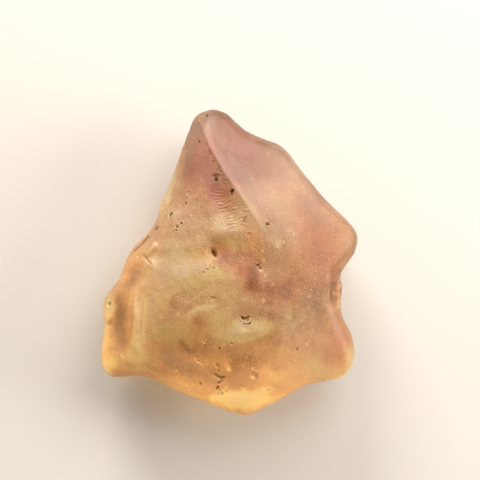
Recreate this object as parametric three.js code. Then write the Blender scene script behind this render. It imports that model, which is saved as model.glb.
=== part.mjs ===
// Raw desert glass: one natural lump of wind-worn silica glass, three-cornered in plan and lying on its flattest side.
// Millimetres, +Z up, +Y towards the pointed end. It is one piece, so it is one mesh.
import * as THREE from "three";
import { ImprovedNoise } from "three/addons/math/ImprovedNoise.js";
import { mergeVertices } from "three/addons/utils/BufferGeometryUtils.js";

// Driving sizes: the finished lump's extents.
const LENGTH = 33.0;
const WIDTH = 27.8;
const THICKNESS = 11.4;

// The plan outline, anticlockwise from the bump on the right flank, as [x, y] from the middle of the lump.
const OUTLINE = [
  [13.9, 2.4], [13.7, 3.3], [12.8, 4.5], [11.3, 5.9], [9.8, 7.5], [8.5, 9.1], [7.3, 10.6],
  [6.2, 12.1], [5.1, 12.9], [3.4, 13.5], [1.8, 14.2], [0.7, 15.1], [-0.3, 16.1], [-1.5, 16.5],
  [-2.5, 16.4], [-3.7, 15.9], [-4.4, 14.4], [-5.1, 12.6], [-5.8, 10.5], [-6.7, 8.1], [-7.6, 6.3],
  [-7.8, 5.0], [-8.8, 3.2], [-10.1, 2.0], [-11.2, 0.3], [-11.7, -1.2], [-12.3, -2.3], [-13.2, -3.3],
  [-13.7, -4.4], [-13.6, -5.6], [-13.6, -7.2], [-13.9, -9.0], [-13.9, -11.1], [-13.3, -12.1],
  [-12.2, -12.5], [-10.6, -12.3], [-9.0, -12.4], [-7.4, -13.1], [-5.6, -13.9], [-3.5, -14.7],
  [-1.6, -15.5], [0.2, -16.2], [1.7, -16.5], [2.9, -16.2], [4.5, -15.3], [6.4, -14.2], [8.3, -13.2],
  [10.4, -12.8], [12.0, -12.4], [13.0, -11.6], [13.5, -10.0], [13.4, -8.5], [13.0, -7.3],
  [12.4, -6.2], [12.0, -5.0], [12.1, -3.7], [12.2, -2.5], [11.9, -1.5], [12.2, -0.8], [12.9, 0.1],
  [13.6, 1.2],
];

// Worn faces of the upper side, as z = height + x * slopeX + y * slopeY.
const RIGHT_FACE = { height: 12.86, slopeX: -0.274, slopeY: -0.438 };
const LEFT_FACE = { height: 10.55, slopeX: 0.294, slopeY: -0.272 };
const BROAD_FACES = [
  { height: 10.5, slopeX: -0.03, slopeY: 0.05 },
  { height: 12.0, slopeX: 0.43, slopeY: 0.02 },
  { height: 12.1, slopeX: -0.34, slopeY: 0.06 },
  { height: 12.3, slopeX: 0.02, slopeY: 0.36 },
];

// The narrow bevel down the left flank, which ends at a notch at `end`, and the one across the blunt lower tip, which
// reaches `reach` to both sides of `middle`. Past there each rises out of the surface by `runout` for each millimetre.
const FLANK_BEVEL = { height: 16.6, slopeX: 1.214, slopeY: -0.465, end: 5.8, runout: 1.36 };
const TIP_BEVEL = { height: 17.7, slopeX: -0.07, slopeY: 0.76, middle: 1.2, reach: 3.4, runout: 0.9 };

// Faces of the under side. The lump rests on the flat where they all lie below zero.
const UNDER_FACES = [
  { height: -1.3, slopeX: 0, slopeY: 0.3 },
  { height: -2.1, slopeX: -0.36, slopeY: 0.08 },
  { height: -2.0, slopeX: 0.34, slopeY: 0.05 },
  { height: -4.6, slopeX: 0.05, slopeY: -0.52 },
  { height: -5.4, slopeX: 0.34, slopeY: -0.36 },
];

// The crest, from the pointed end until it dies out near the middle, and the slope of the wall on its left.
const CREST = [
  [-3.4, 15.5], [-2.2, 12.8], [-0.7, 10.4], [0.7, 7.9], [2.6, 5.4], [4.1, 3.2],
].map(([x, y]) => new THREE.Vector2(x, y));
const CREST_WALL_SLOPE = 1.15;

// How far faces blend into each other: at the crest, more and more below its fade, along the trough beside it, and
// elsewhere.
const CREST_BLEND = 0.3;
const CREST_FADE = 5.2;
const CREST_FADE_RATE = 0.7;
const TROUGH_BLEND = 1.3;
const FACE_BLEND = 2.6;
const BEVEL_BLEND = 0.7;
const UNDER_BLEND = 1.6;

// The rounded edge: how far in from the outline it reaches, above and below, and where between them the girdle lies.
// Where the face right of the crest runs out to the outline the edge is narrower, fully so from EDGE_TURN inwards.
const EDGE_ABOVE = 1.9;
const EDGE_RIGHT_FACE = 0.9;
const EDGE_TURN = { side: 3.0, low: 0.5, high: 4.0 };
const EDGE_BELOW = 2.4;
const GIRDLE_SHARE = 0.42;

// Hollows (depth above zero) and swells (below zero): middle, half length, half width, turn in degrees, depth.
const UPPER_RELIEF = [
  { x: -0.6, y: 6.8, long: 3.2, wide: 2.0, turn: 112, depth: 0.5 },
  { x: -0.3, y: 3.1, long: 2.4, wide: 1.1, turn: 8, depth: -0.35 },
  { x: 1.0, y: 0.6, long: 4.4, wide: 2.8, turn: 157, depth: 0.45 },
  { x: -1.6, y: 1.3, long: 1.6, wide: 1.3, turn: 60, depth: 0.3 },
  { x: -4.3, y: -3.6, long: 2.8, wide: 2.2, turn: 30, depth: 0.4 },
  { x: -5.6, y: -9.2, long: 4.2, wide: 2.4, turn: 155, depth: 0.5 },
  { x: 2.4, y: -8.7, long: 3.6, wide: 1.8, turn: 8, depth: 0.4 },
  { x: 6.4, y: -2.2, long: 3.4, wide: 2.0, turn: 20, depth: 0.25 },
  { x: 9.0, y: -7.4, long: 2.8, wide: 2.2, turn: 60, depth: 0.35 },
  { x: 8.2, y: 7.0, long: 4.0, wide: 2.4, turn: 130, depth: 0.3 },
  { x: -11.7, y: -6.9, long: 4.2, wide: 1.1, turn: 92, depth: 0.6 },
  { x: -10.1, y: -6.6, long: 3.9, wide: 0.6, turn: 91, depth: -0.3 },
  { x: -10.6, y: -11.3, long: 3.0, wide: 0.9, turn: 166, depth: 0.4 },
  { x: -8.5, y: 1.4, long: 1.4, wide: 0.4, turn: 38, depth: -0.28 },
  { x: -8.6, y: 0.0, long: 1.3, wide: 0.4, turn: 143, depth: -0.32 },
  { x: -7.3, y: 0.7, long: 1.2, wide: 0.8, turn: 10, depth: 0.2 },
  { x: -9.4, y: -1.2, long: 1.5, wide: 0.9, turn: 140, depth: 0.3 },
  { x: -9.3, y: 2.2, long: 2.0, wide: 0.7, turn: 45, depth: 0.5 },
  { x: 11.5, y: -3.2, long: 2.1, wide: 1.3, turn: 82, depth: 1.3 },
  { x: 1.4, y: -12.3, long: 4.2, wide: 1.2, turn: 6, depth: -0.3 },
];
const UNDER_RELIEF = [
  { x: -2.6, y: 11.0, long: 3.8, wide: 2.3, turn: 105, depth: 0.6 },
  { x: 8.6, y: 4.4, long: 3.4, wide: 2.4, turn: 150, depth: 0.55 },
  { x: -10.4, y: -4.4, long: 3.6, wide: 2.0, turn: 80, depth: 0.5 },
  { x: 9.6, y: -8.8, long: 3.0, wide: 2.0, turn: 40, depth: 0.45 },
  { x: 2.0, y: -13.0, long: 3.4, wide: 1.5, turn: 5, depth: 0.4 },
];

// Etched pits, as the relief above, and each only as wide as a grain of sand.
const UPPER_PITS = [
  { x: -1.45, y: 9.1, long: 0.42, wide: 0.36, turn: 0, depth: 0.55 },
  { x: -1.75, y: 1.1, long: 0.55, wide: 0.4, turn: 75, depth: 0.6 },
  { x: 1.8, y: -6.1, long: 0.52, wide: 0.26, turn: 5, depth: 0.45 },
  { x: 1.85, y: -6.85, long: 0.45, wide: 0.24, turn: 3, depth: 0.4 },
  { x: -1.1, y: -12.2, long: 0.75, wide: 0.27, turn: 160, depth: 0.5 },
  { x: -1.2, y: -13.4, long: 0.45, wide: 0.26, turn: 60, depth: 0.5 },
  { x: -6.3, y: 5.2, long: 0.42, wide: 0.27, turn: 60, depth: 0.4 },
  { x: 3.1, y: -0.3, long: 0.5, wide: 0.27, turn: 130, depth: 0.4 },
  { x: 4.2, y: 4.2, long: 0.36, wide: 0.28, turn: 150, depth: 0.35 },
  { x: 0.5, y: 7.6, long: 0.42, wide: 0.3, turn: 60, depth: 0.45 },
  { x: -1.7, y: -3.8, long: 0.42, wide: 0.22, turn: 165, depth: 0.3 },
  { x: -13.0, y: -4.4, long: 0.4, wide: 0.3, turn: 70, depth: 0.35 },
];
const UNDER_PITS = [
  { x: -6.2, y: 7.2, long: 0.5, wide: 0.36, turn: 30, depth: 0.45 },
  { x: 6.4, y: 9.4, long: 0.45, wide: 0.3, turn: 100, depth: 0.4 },
  { x: 10.6, y: 1.0, long: 0.5, wide: 0.28, turn: 60, depth: 0.4 },
  { x: -9.8, y: -9.0, long: 0.45, wide: 0.34, turn: 0, depth: 0.45 },
  { x: 6.2, y: -12.0, long: 0.5, wide: 0.3, turn: 150, depth: 0.4 },
];

// Slow unevenness over the whole surface: wave length and height.
const SWELL_LENGTH = 4.6;
const SWELL_HEIGHT = 0.22;

// The mesh: an octahedron's subdivision, the longest edge on the upper and the under side, an edge in a pit and how
// much longer it may grow for each millimetre away from there, how far an edge may pass under the surface, the
// shortest edge that is still split for that, the rounds of splitting, the step to the two points that a normal is
// worked out from, as a share of the radius, and the rounds that even the mesh out at the end.
const SUBDIVISION = 7;
const LONGEST_ABOVE = 1.8;
const LONGEST_BELOW = 3.0;
const EDGE_IN_PIT = 0.27;
const EDGE_GROWTH = 1.2;
const FLAT_WITHIN = 0.06;
const SHORTEST_EDGE = 0.36;
const SPLIT_ROUNDS = 14;
const NORMAL_STEP = 0.002;
const RELAX_ROUNDS = 4;

// The share of the way from girdle to pole, in latitude, over which the mesh closes up for the rounded edge.
const EDGE_LATITUDE = 0.3;

// The radius that the mesh's rings tend to near the middle.
const MIDDLE_RADIUS = 12;

const GLASS_COLOUR = 0xdcc184;

const clamp01 = (value) => Math.min(Math.max(value, 0), 1);
const heightOf = (face, x, y) => face.height + x * face.slopeX + y * face.slopeY;

// The lower of two heights, rounded over where they come within `blend` of each other.
function blendMin(a, b, blend) {
  const near = Math.max(blend - Math.abs(a - b), 0) / blend;
  return Math.min(a, b) - (near * near * blend) / 4;
}
const blendMax = (a, b, blend) => -blendMin(-a, -b, blend);

// The outline's distance from the middle as a function of the direction.
function makeRim() {
  const corners = OUTLINE.map(([x, y]) => new THREE.Vector3(x, y, 0));
  const curve = new THREE.CatmullRomCurve3(corners, true, "centripetal");
  const samples = curve.getPoints(OUTLINE.length * 12).slice(0, -1);
  const polar = samples
    .map((p) => ({ angle: Math.atan2(p.y, p.x), radius: Math.hypot(p.x, p.y) }))
    .sort((a, b) => a.angle - b.angle);
  return (angle) => {
    let low = 0;
    let high = polar.length;
    while (low < high) {
      const middle = (low + high) >> 1;
      if (polar[middle].angle <= angle) low = middle + 1;
      else high = middle;
    }
    const after = polar[low % polar.length];
    const before = polar[(low + polar.length - 1) % polar.length];
    const full = 2 * Math.PI;
    const gap = (after.angle - before.angle + full) % full || full;
    const share = ((angle - before.angle + full) % full) / gap;
    return THREE.MathUtils.lerp(before.radius, after.radius, share);
  };
}
const rimRadius = makeRim();

// How deep inside an oval mark a point lies: 1 at its middle, 0 at and past its border.
function insideMark(mark, x, y) {
  const turn = THREE.MathUtils.degToRad(mark.turn);
  const along = ((x - mark.x) * Math.cos(turn) + (y - mark.y) * Math.sin(turn)) / mark.long;
  const across = ((y - mark.y) * Math.cos(turn) - (x - mark.x) * Math.sin(turn)) / mark.wide;
  return clamp01(1 - along * along - across * across);
}
const depthOf = (marks, x, y) =>
  marks.reduce((sum, mark) => sum + mark.depth * insideMark(mark, x, y) ** 2, 0);

// Distance from the crest's line, above zero on its right. The line runs on straight past both its ends.
function crestSide(x, y) {
  let side = Infinity;
  for (let i = 1; i < CREST.length; i++) {
    const run = CREST[i].clone().sub(CREST[i - 1]);
    const away = new THREE.Vector2(x, y).sub(CREST[i - 1]);
    const first = i === 1 ? -Infinity : 0;
    const last = i === CREST.length - 1 ? Infinity : 1;
    const along = Math.min(Math.max(away.dot(run) / run.lengthSq(), first), last);
    away.addScaledVector(run, -along);
    if (away.length() < Math.abs(side)) side = away.length() * Math.sign(run.cross(away));
  }
  return side;
}

// The upper side away from the edge: the faces, the crest with its trough, the bevel and the relief.
function upperHeight(x, y) {
  const right = heightOf(RIGHT_FACE, x, y);
  const wall = right + CREST_WALL_SLOPE * crestSide(x, y);
  const left = blendMax(heightOf(LEFT_FACE, x, y), wall, TROUGH_BLEND);
  const crestBlend = CREST_BLEND + CREST_FADE_RATE * Math.max(CREST_FADE - y, 0);
  const crested = blendMin(right, left, crestBlend);
  const broad = BROAD_FACES.reduce((z, face) => blendMin(z, heightOf(face, x, y), FACE_BLEND), crested);
  const flankRise = FLANK_BEVEL.runout * Math.max(FLANK_BEVEL.end - y, 0);
  const flanked = blendMin(broad, heightOf(FLANK_BEVEL, x, y) + flankRise, BEVEL_BLEND);
  const tipRise = TIP_BEVEL.runout * Math.max(Math.abs(x - TIP_BEVEL.middle) - TIP_BEVEL.reach, 0);
  const bevelled = blendMin(flanked, heightOf(TIP_BEVEL, x, y) + tipRise, BEVEL_BLEND);
  return bevelled - depthOf(UPPER_RELIEF, x, y);
}

// The under side away from the edge: flat where it rests, with worn faces round the flat.
function underHeight(x, y) {
  const faces = UNDER_FACES.map((face) => heightOf(face, x, y));
  const raised = faces.reduce((a, b) => blendMax(a, b, UNDER_BLEND));
  const hollow = depthOf(UNDER_RELIEF, x, y);
  return Math.max(raised + hollow * clamp01(raised + hollow), 0);
}

// How far in from a point of the outline the rounded edge reaches on the upper side.
function edgeAbove(rim) {
  const beside = clamp01(crestSide(rim.x, rim.y) / EDGE_TURN.side);
  const upward = THREE.MathUtils.smoothstep(rim.y, EDGE_TURN.low, EDGE_TURN.high);
  return THREE.MathUtils.lerp(EDGE_ABOVE, EDGE_RIGHT_FACE, beside * upward);
}

// How far out towards the outline a direction's point lies, from 0 at a pole to 1 on the girdle.
function outwardShare(direction) {
  const latitude = Math.asin(clamp01(Math.abs(direction.z))) / (Math.PI / 2);
  const inward =
    latitude < EDGE_LATITUDE ? latitude ** 2 / (2 * EDGE_LATITUDE) : latitude - EDGE_LATITUDE / 2;
  return 1 - inward / (1 - EDGE_LATITUDE / 2);
}

// A direction's place in plan, the point of the outline beyond it and how far in from there it is. Level rings are
// round near the middle and take the outline's shape towards it.
function planPlace(direction) {
  const angle = Math.atan2(direction.y, direction.x);
  const radius = rimRadius(angle);
  const rim = new THREE.Vector2(Math.cos(angle), Math.sin(angle)).multiplyScalar(radius);
  const out = outwardShare(direction);
  const share = out * THREE.MathUtils.lerp(MIDDLE_RADIUS / radius, 1, out);
  return { x: rim.x * share, y: rim.y * share, rim, inset: radius * (1 - share), above: direction.z >= 0 };
}

// The point of the surface for a direction from the middle.
const noise = new ImprovedNoise();
function surfacePoint(direction) {
  const { x, y, rim, inset, above } = planPlace(direction);
  const girdle = THREE.MathUtils.lerp(underHeight(rim.x, rim.y), upperHeight(rim.x, rim.y), GIRDLE_SHARE);
  const inward = clamp01(inset / (above ? edgeAbove(rim) : EDGE_BELOW));
  const rise = Math.sqrt(1 - (1 - inward) ** 2);
  const swell = noise.noise(x / SWELL_LENGTH, y / SWELL_LENGTH, above ? 0.3 : 7.7) * SWELL_HEIGHT;
  if (above) {
    const top = upperHeight(x, y) + swell - depthOf(UPPER_PITS, x, y);
    return new THREE.Vector3(x, y, THREE.MathUtils.lerp(girdle, top, rise));
  }
  const flat = underHeight(x, y);
  const bottom = flat + (swell + depthOf(UNDER_PITS, x, y)) * clamp01(flat);
  return new THREE.Vector3(x, y, THREE.MathUtils.lerp(girdle, bottom, rise));
}

// The longest edge wanted at a direction's point.
function wantedEdge(direction) {
  const { x, y, above } = planPlace(direction);
  const pits = above ? UPPER_PITS : UNDER_PITS;
  return pits.reduce((wanted, pit) => {
    const away = Math.max(Math.hypot(x - pit.x, y - pit.y) - pit.long, 0);
    return Math.min(wanted, EDGE_IN_PIT + EDGE_GROWTH * away);
  }, above ? LONGEST_ABOVE : LONGEST_BELOW);
}

// The surface's normal at a direction's point, from two points close by.
function surfaceNormal(direction) {
  const aside = new THREE.Vector3(1, 0, 0).cross(direction).normalize();
  const onward = direction.clone().cross(aside);
  const [u, v] = [aside, onward].map((way) => {
    const near = direction.clone().addScaledVector(way, NORMAL_STEP).normalize();
    return surfacePoint(near).sub(surfacePoint(direction));
  });
  return u.cross(v).normalize();
}

const middleDirection = (a, b) => a.clone().add(b).normalize();

// Whether an edge is longer than wanted, or passes too far under or over the surface.
function needsSplit(a, b) {
  const start = surfacePoint(a);
  const end = surfacePoint(b);
  const length = start.distanceTo(end);
  const middle = middleDirection(a, b);
  if (length > wantedEdge(middle)) return true;
  if (length < SHORTEST_EDGE) return false;
  const chord = surfacePoint(middle).sub(start.lerp(end, 0.5));
  return Math.abs(chord.dot(surfaceNormal(middle))) > FLAT_WITHIN;
}

// The triangle's corners, turned so that its longest edge comes first.
function longestFirst(corners, points) {
  const lengths = corners.map((corner, i) => points[corner].distanceTo(points[corners[(i + 1) % 3]]));
  const first = lengths.indexOf(Math.max(...lengths));
  return [0, 1, 2].map((i) => corners[(first + i) % 3]);
}

// Splits the edges that need it. A triangle with a split edge has its longest edge split too, so none gets thin.
function refine(directions, triangles) {
  const count = directions.length;
  const points = directions.map(surfacePoint);
  const keyOf = (a, b) => Math.min(a, b) * count + Math.max(a, b);
  const turned = triangles.map((corners) => longestFirst(corners, points));
  const split = new Set();
  for (const corners of turned) {
    corners.forEach((a, i) => {
      const b = corners[(i + 1) % 3];
      if (a < b && needsSplit(directions[a], directions[b])) split.add(keyOf(a, b));
    });
  }
  for (let size = -1; size < split.size; ) {
    size = split.size;
    for (const [a, b, c] of turned) {
      if (split.has(keyOf(b, c)) || split.has(keyOf(c, a))) split.add(keyOf(a, b));
    }
  }
  const middles = new Map();
  const middleOf = (a, b) => {
    const key = keyOf(a, b);
    if (!split.has(key)) return null;
    if (!middles.has(key)) middles.set(key, directions.push(middleDirection(directions[a], directions[b])) - 1);
    return middles.get(key);
  };
  return turned.flatMap(([a, b, c]) => {
    const [ab, bc, ca] = [middleOf(a, b), middleOf(b, c), middleOf(c, a)];
    if (ab === null) return [[a, b, c]];
    const left = ca === null ? [[a, ab, c]] : [[a, ab, ca], [ca, ab, c]];
    const right = bc === null ? [[ab, b, c]] : [[ab, b, bc], [ab, bc, c]];
    return [...left, ...right];
  });
}

// Moves every direction half way to the middle of its neighbours, those on the girdle along it.
function relax(directions, triangles) {
  const sums = directions.map(() => ({ total: new THREE.Vector3(), count: 0 }));
  for (const corners of triangles) {
    corners.forEach((corner, i) => {
      sums[corner].total.add(directions[corners[(i + 1) % 3]]);
      sums[corner].count++;
    });
  }
  return sums.map(({ total, count }, i) => {
    const moved = total.divideScalar(count).add(directions[i]);
    return (directions[i].z === 0 ? moved.setZ(0) : moved).normalize();
  });
}

function makeLump() {
  const ball = new THREE.OctahedronGeometry(1, SUBDIVISION);
  ball.deleteAttribute("normal");
  ball.deleteAttribute("uv");
  const merged = mergeVertices(ball, 1e-4);
  const places = merged.getAttribute("position");
  let directions = Array.from({ length: places.count }, (_, i) =>
    new THREE.Vector3().fromBufferAttribute(places, i).normalize(),
  );
  let triangles = Array.from({ length: merged.index.count / 3 }, (_, i) =>
    [0, 1, 2].map((corner) => merged.index.getX(3 * i + corner)),
  );
  for (let round = 0; round < SPLIT_ROUNDS; round++) triangles = refine(directions, triangles);
  for (let round = 0; round < RELAX_ROUNDS; round++) directions = relax(directions, triangles);

  const geometry = new THREE.BufferGeometry();
  const positions = directions.flatMap((direction) => surfacePoint(direction).toArray());
  geometry.setAttribute("position", new THREE.Float32BufferAttribute(positions, 3));
  geometry.setIndex(triangles.flat());

  // To the driving sizes, with the middle of the box over the origin and the flat on z = 0.
  geometry.computeBoundingBox();
  const size = geometry.boundingBox.getSize(new THREE.Vector3());
  const middle = geometry.boundingBox.getCenter(new THREE.Vector3());
  geometry.translate(-middle.x, -middle.y, -geometry.boundingBox.min.z);
  geometry.scale(WIDTH / size.x, LENGTH / size.y, THICKNESS / size.z);
  geometry.computeVertexNormals();
  return geometry;
}

const glass = new THREE.Mesh(
  makeLump(),
  new THREE.MeshStandardMaterial({ color: GLASS_COLOUR, roughness: 0.4, metalness: 0 }),
);
glass.name = "desert_glass";

const lump = new THREE.Group();
lump.add(glass);

export default lump;
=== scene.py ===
"""Raw desert glass: one wind-worn lump of natural silica glass, lying on its flattest side on a pale table.

The lump is one piece, so it is one mesh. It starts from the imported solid, is made fine and smooth, and then
gets what the solid is too coarse for: the sharp crest, the rippled break beside it, folds, etched pits and a
satin skin. Shapes are worked in millimetres, and the finished mesh is in metres. Places on the lump are
given in plan, seen from above with the pointed end up: x to the right, y up.
"""

import logging
import math
import random
from dataclasses import dataclass
from enum import Enum

import bpy
import numpy as np
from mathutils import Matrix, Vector, noise


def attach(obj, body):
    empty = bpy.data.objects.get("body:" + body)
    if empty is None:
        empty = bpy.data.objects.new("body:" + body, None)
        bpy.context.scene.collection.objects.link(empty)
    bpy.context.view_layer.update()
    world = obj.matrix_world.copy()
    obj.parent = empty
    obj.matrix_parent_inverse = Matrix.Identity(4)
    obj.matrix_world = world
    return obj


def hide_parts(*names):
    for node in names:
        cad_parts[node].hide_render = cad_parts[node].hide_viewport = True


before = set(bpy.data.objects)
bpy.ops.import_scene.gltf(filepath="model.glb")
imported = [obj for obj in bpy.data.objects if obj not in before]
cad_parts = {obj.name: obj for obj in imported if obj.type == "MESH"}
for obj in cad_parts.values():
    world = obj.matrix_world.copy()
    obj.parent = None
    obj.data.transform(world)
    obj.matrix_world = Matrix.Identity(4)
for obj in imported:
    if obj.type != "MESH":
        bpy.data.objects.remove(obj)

LOG = logging.getLogger("desert_glass")

MILLIMETRE = 0.001
PER_METRE = 1 / MILLIMETRE

SOLID = "desert_glass"
BODY = "root"

# Two values between which a weight rises: where it is 0, and where it is 1. The first may be the greater.
Span = tuple[float, float]


def linear_colour(hex_colour: str) -> tuple[float, float, float, float]:
    """Turns an sRGB hex colour to linear, by the sRGB standard's curve.

    Args:
        hex_colour: Six hex digits after a #.

    Returns:
        Linear red, green, blue and an alpha of 1.
    """
    parts = [int(hex_colour[i : i + 2], 16) / 255 for i in (1, 3, 5)]
    linear = [p / 12.92 if p <= 0.04045 else ((p + 0.055) / 1.055) ** 2.4 for p in parts]
    return (linear[0], linear[1], linear[2], 1.0)


def select_only(piece: bpy.types.Object) -> None:
    """Selects one object alone and makes it active.

    Args:
        piece: The object that the next operators act on.
    """
    bpy.ops.object.select_all(action="DESELECT")
    piece.select_set(True)
    bpy.context.view_layer.objects.active = piece


def apply_modifier(piece: bpy.types.Object, kind: str, **settings: object) -> None:
    """Adds a modifier with its settings and applies it at once.

    Args:
        piece: The mesh object that gets it.
        kind: Blender's name of the modifier's type.
        **settings: The modifier's properties.
    """
    select_only(piece)
    bpy.ops.object.modifier_add(type=kind)
    modifier = piece.modifiers[-1]
    for name, value in settings.items():
        setattr(modifier, name, value)
    bpy.ops.object.modifier_apply(modifier=modifier.name)


def read_rows(parts: bpy.types.bpy_prop_collection, name: str) -> np.ndarray:
    """Reads a vector of each of a mesh's vertices or faces.

    Args:
        parts: The mesh's vertices or faces.
        name: The vector's name.

    Returns:
        Rows of x, y and z.
    """
    values = np.empty(len(parts) * 3)
    parts.foreach_get(name, values)
    return values.reshape(-1, 3)


def add_node(
    tree: bpy.types.NodeTree,
    kind: str,
    links: dict[str | int, bpy.types.NodeSocket] | None = None,
    values: dict[str | int, object] | None = None,
    **settings: object,
) -> bpy.types.Node:
    """Adds a shader node with its settings, socket values and incoming links.

    Args:
        tree: The node tree that gets it.
        kind: The node's type name.
        links: Sockets to link in, by input name or number.
        values: Values of unlinked inputs, by input name or number.
        **settings: The node's own properties.

    Returns:
        The new node.
    """
    node = tree.nodes.new(kind)
    for name, value in settings.items():
        setattr(node, name, value)
    for name, value in (values or {}).items():
        node.inputs[name].default_value = value
    for name, socket in (links or {}).items():
        tree.links.new(socket, node.inputs[name])
    return node


def smooth_step(value: np.ndarray, start: float, end: float) -> np.ndarray:
    """Gives weights that rise smoothly from 0 at start to 1 at end, of which start may be the greater."""
    share = np.clip((value - start) / (end - start), 0, 1)
    return share * share * (3 - 2 * share)


def fade_ends(share: np.ndarray, fade_in: float, fade_out: float) -> np.ndarray:
    """Gives weights along a line that rise over the share fade_in and fall over the last share fade_out."""
    return smooth_step(share, 0, fade_in) * smooth_step(share, 1, 1 - fade_out)


def soft_peak(value: np.ndarray, middle: float, width: float) -> np.ndarray:
    """Gives 1 at the middle and less and less to both sides."""
    return np.exp(-(((value - middle) / width) ** 2))


def soft_plateau(value: np.ndarray, width: float) -> np.ndarray:
    """Gives nearly 1 round zero, and falls off steeply about the width."""
    return np.exp(-((value / width) ** 4))


@dataclass(frozen=True)
class Waviness:
    """Smooth noise over the surface: its wave length in millimetres, or one for each axis, and its strength.

    The shift moves the pattern, so that two of them differ.
    """

    length: float | tuple[float, float, float]
    strength: float = 1.0
    shift: float = 0.0

    def at(self, points: np.ndarray) -> np.ndarray:
        """Gives the noise at each point, from about -strength to strength."""
        scaled = points / np.array(self.length) + np.array((self.shift, -self.shift, 2 * self.shift))
        return self.strength * np.array([noise.noise(row) for row in scaled])


def stray(points: np.ndarray, wavinesses: tuple[Waviness, Waviness]) -> np.ndarray:
    """Moves each point a little in plan, so that what is drawn there gets an uneven border.

    Args:
        points: Rows of x, y and z.
        wavinesses: How far it is moved along x and along y.

    Returns:
        The moved rows.
    """
    moved = points.copy()
    for axis, waviness in enumerate(wavinesses):
        moved[:, axis] += waviness.at(points)
    return moved


@dataclass(frozen=True)
class Oval:
    """An oval place: its middle, half length and half width in millimetres, and its turn in degrees."""

    x: float
    y: float
    long: float
    wide: float
    turn: float = 0.0

    def reach(self, points: np.ndarray) -> np.ndarray:
        """Gives how far out in the oval each point lies.

        Args:
            points: Rows of x, y and z.

        Returns:
            0 in its middle, 1 at its border and more beyond it.
        """
        turn = math.radians(self.turn)
        away_x = points[:, 0] - self.x
        away_y = points[:, 1] - self.y
        along = (away_x * math.cos(turn) + away_y * math.sin(turn)) / self.long
        across = (away_y * math.cos(turn) - away_x * math.sin(turn)) / self.wide
        return np.hypot(along, across)


@dataclass(frozen=True)
class Patch(Oval):
    """A soft oval area, with how strongly it counts."""

    weight: float = 1.0

    def share(self, points: np.ndarray) -> np.ndarray:
        """Gives the patch's weight at each point, which falls to nothing at its border."""
        return self.weight * smooth_step(self.reach(points), 1, 0)


class PitForm(Enum):
    """How an etched pit is shaped: a bowl, a groove round a raised middle, or a wide shallow flake scar."""

    BOWL = "bowl"
    RING = "ring"
    CHIP = "chip"


# A pit's parts by their reach, so that 1 is its border. The rim, a ring's groove and the lit lip with its
# painted highlight have a middle and a width, and the floor and the dark lining have a width alone.
PIT_RIM = (1.45, 0.4)
PIT_GROOVE = (0.8, 0.35)
PIT_LIP = (1.35, 0.3)
PIT_FLOOR = 0.75
PIT_LINING = 0.95

# The rims of pits and the lips of cuts stand up by this share of the depth.
RAISED_SHARE = 0.16

# How bright the painted highlight on a pit's lit lip is at most, and the direction in degrees, from the pit's
# middle, of its lit lip.
LIP_HIGHLIGHT_STRENGTH = 0.7
LIT_LIP = 235.0


@dataclass(frozen=True)
class Pit(Oval):
    """An etched pit, with its depth in millimetres, its form and the share of dark lining in it."""

    depth: float = 0.3
    form: PitForm = PitForm.BOWL
    lined: float = 1.0

    def lift(self, points: np.ndarray) -> np.ndarray:
        """Gives how far the pit moves each point outwards: below zero inside it, above zero on its rim.

        Args:
            points: Rows of x, y and z.

        Returns:
            Heights in millimetres.
        """
        reach = self.reach(points)
        if self.form is PitForm.CHIP:
            return -self.depth * np.clip(1 - reach**2, 0, 1)
        rim = RAISED_SHARE * self.depth * soft_peak(reach, *PIT_RIM)
        if self.form is PitForm.RING:
            return rim - self.depth * soft_peak(reach, *PIT_GROOVE)
        return rim - self.depth * soft_plateau(reach, PIT_FLOOR)

    def lining(self, points: np.ndarray) -> np.ndarray:
        """Gives the share of dark lining at each point, which only a bowl has.

        Args:
            points: Rows of x, y and z.

        Returns:
            The share of it in the pit, 0 outside.
        """
        if self.form is not PitForm.BOWL:
            return np.zeros(len(points))
        return self.lined * soft_plateau(self.reach(points), PIT_LINING)

    def lip(self, points: np.ndarray) -> np.ndarray:
        """Gives the painted highlight on the lip at each point, on the side that the light falls on.

        Args:
            points: Rows of x, y and z.

        Returns:
            The highlight's strength, 0 away from the lip.
        """
        turn = np.arctan2(points[:, 1] - self.y, points[:, 0] - self.x)
        facing = np.clip(np.cos(turn - math.radians(LIT_LIP)), 0, 1)
        return LIP_HIGHLIGHT_STRENGTH * facing * soft_peak(self.reach(points), *PIT_LIP)


@dataclass(frozen=True)
class PlanLine:
    """A line across the upper side, given by its points in plan, in millimetres."""

    points: tuple[tuple[float, float], ...]

    def measure(self, points: np.ndarray) -> tuple[np.ndarray, np.ndarray]:
        """Gives each point's place by the line.

        Args:
            points: Rows of x, y and z.

        Returns:
            The distance from the line, above zero on the left of the way along it, and the share of its
            length passed.
        """
        corners = np.array(self.points)
        runs = np.diff(corners, axis=0)
        lengths = np.hypot(runs[:, 0], runs[:, 1])
        passed = np.concatenate([[0], np.cumsum(lengths)])
        side = np.full(len(points), np.inf)
        share = np.zeros(len(points))
        for corner, run, length, start in zip(corners, runs, lengths, passed):
            away = points[:, :2] - corner
            along = np.clip(away @ run / length**2, 0, 1)
            rest = away - along[:, None] * run
            distance = np.hypot(rest[:, 0], rest[:, 1])
            turned = np.sign(run[0] * away[:, 1] - run[1] * away[:, 0])
            nearer = distance < np.abs(side)
            side = np.where(nearer, distance * turned, side)
            share = np.where(nearer, (start + along * length) / passed[-1], share)
        return side, share


# The power that makes a crease's sides hollow, so that its edge stays sharp.
CREASE_HOLLOW = 1.5


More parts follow.
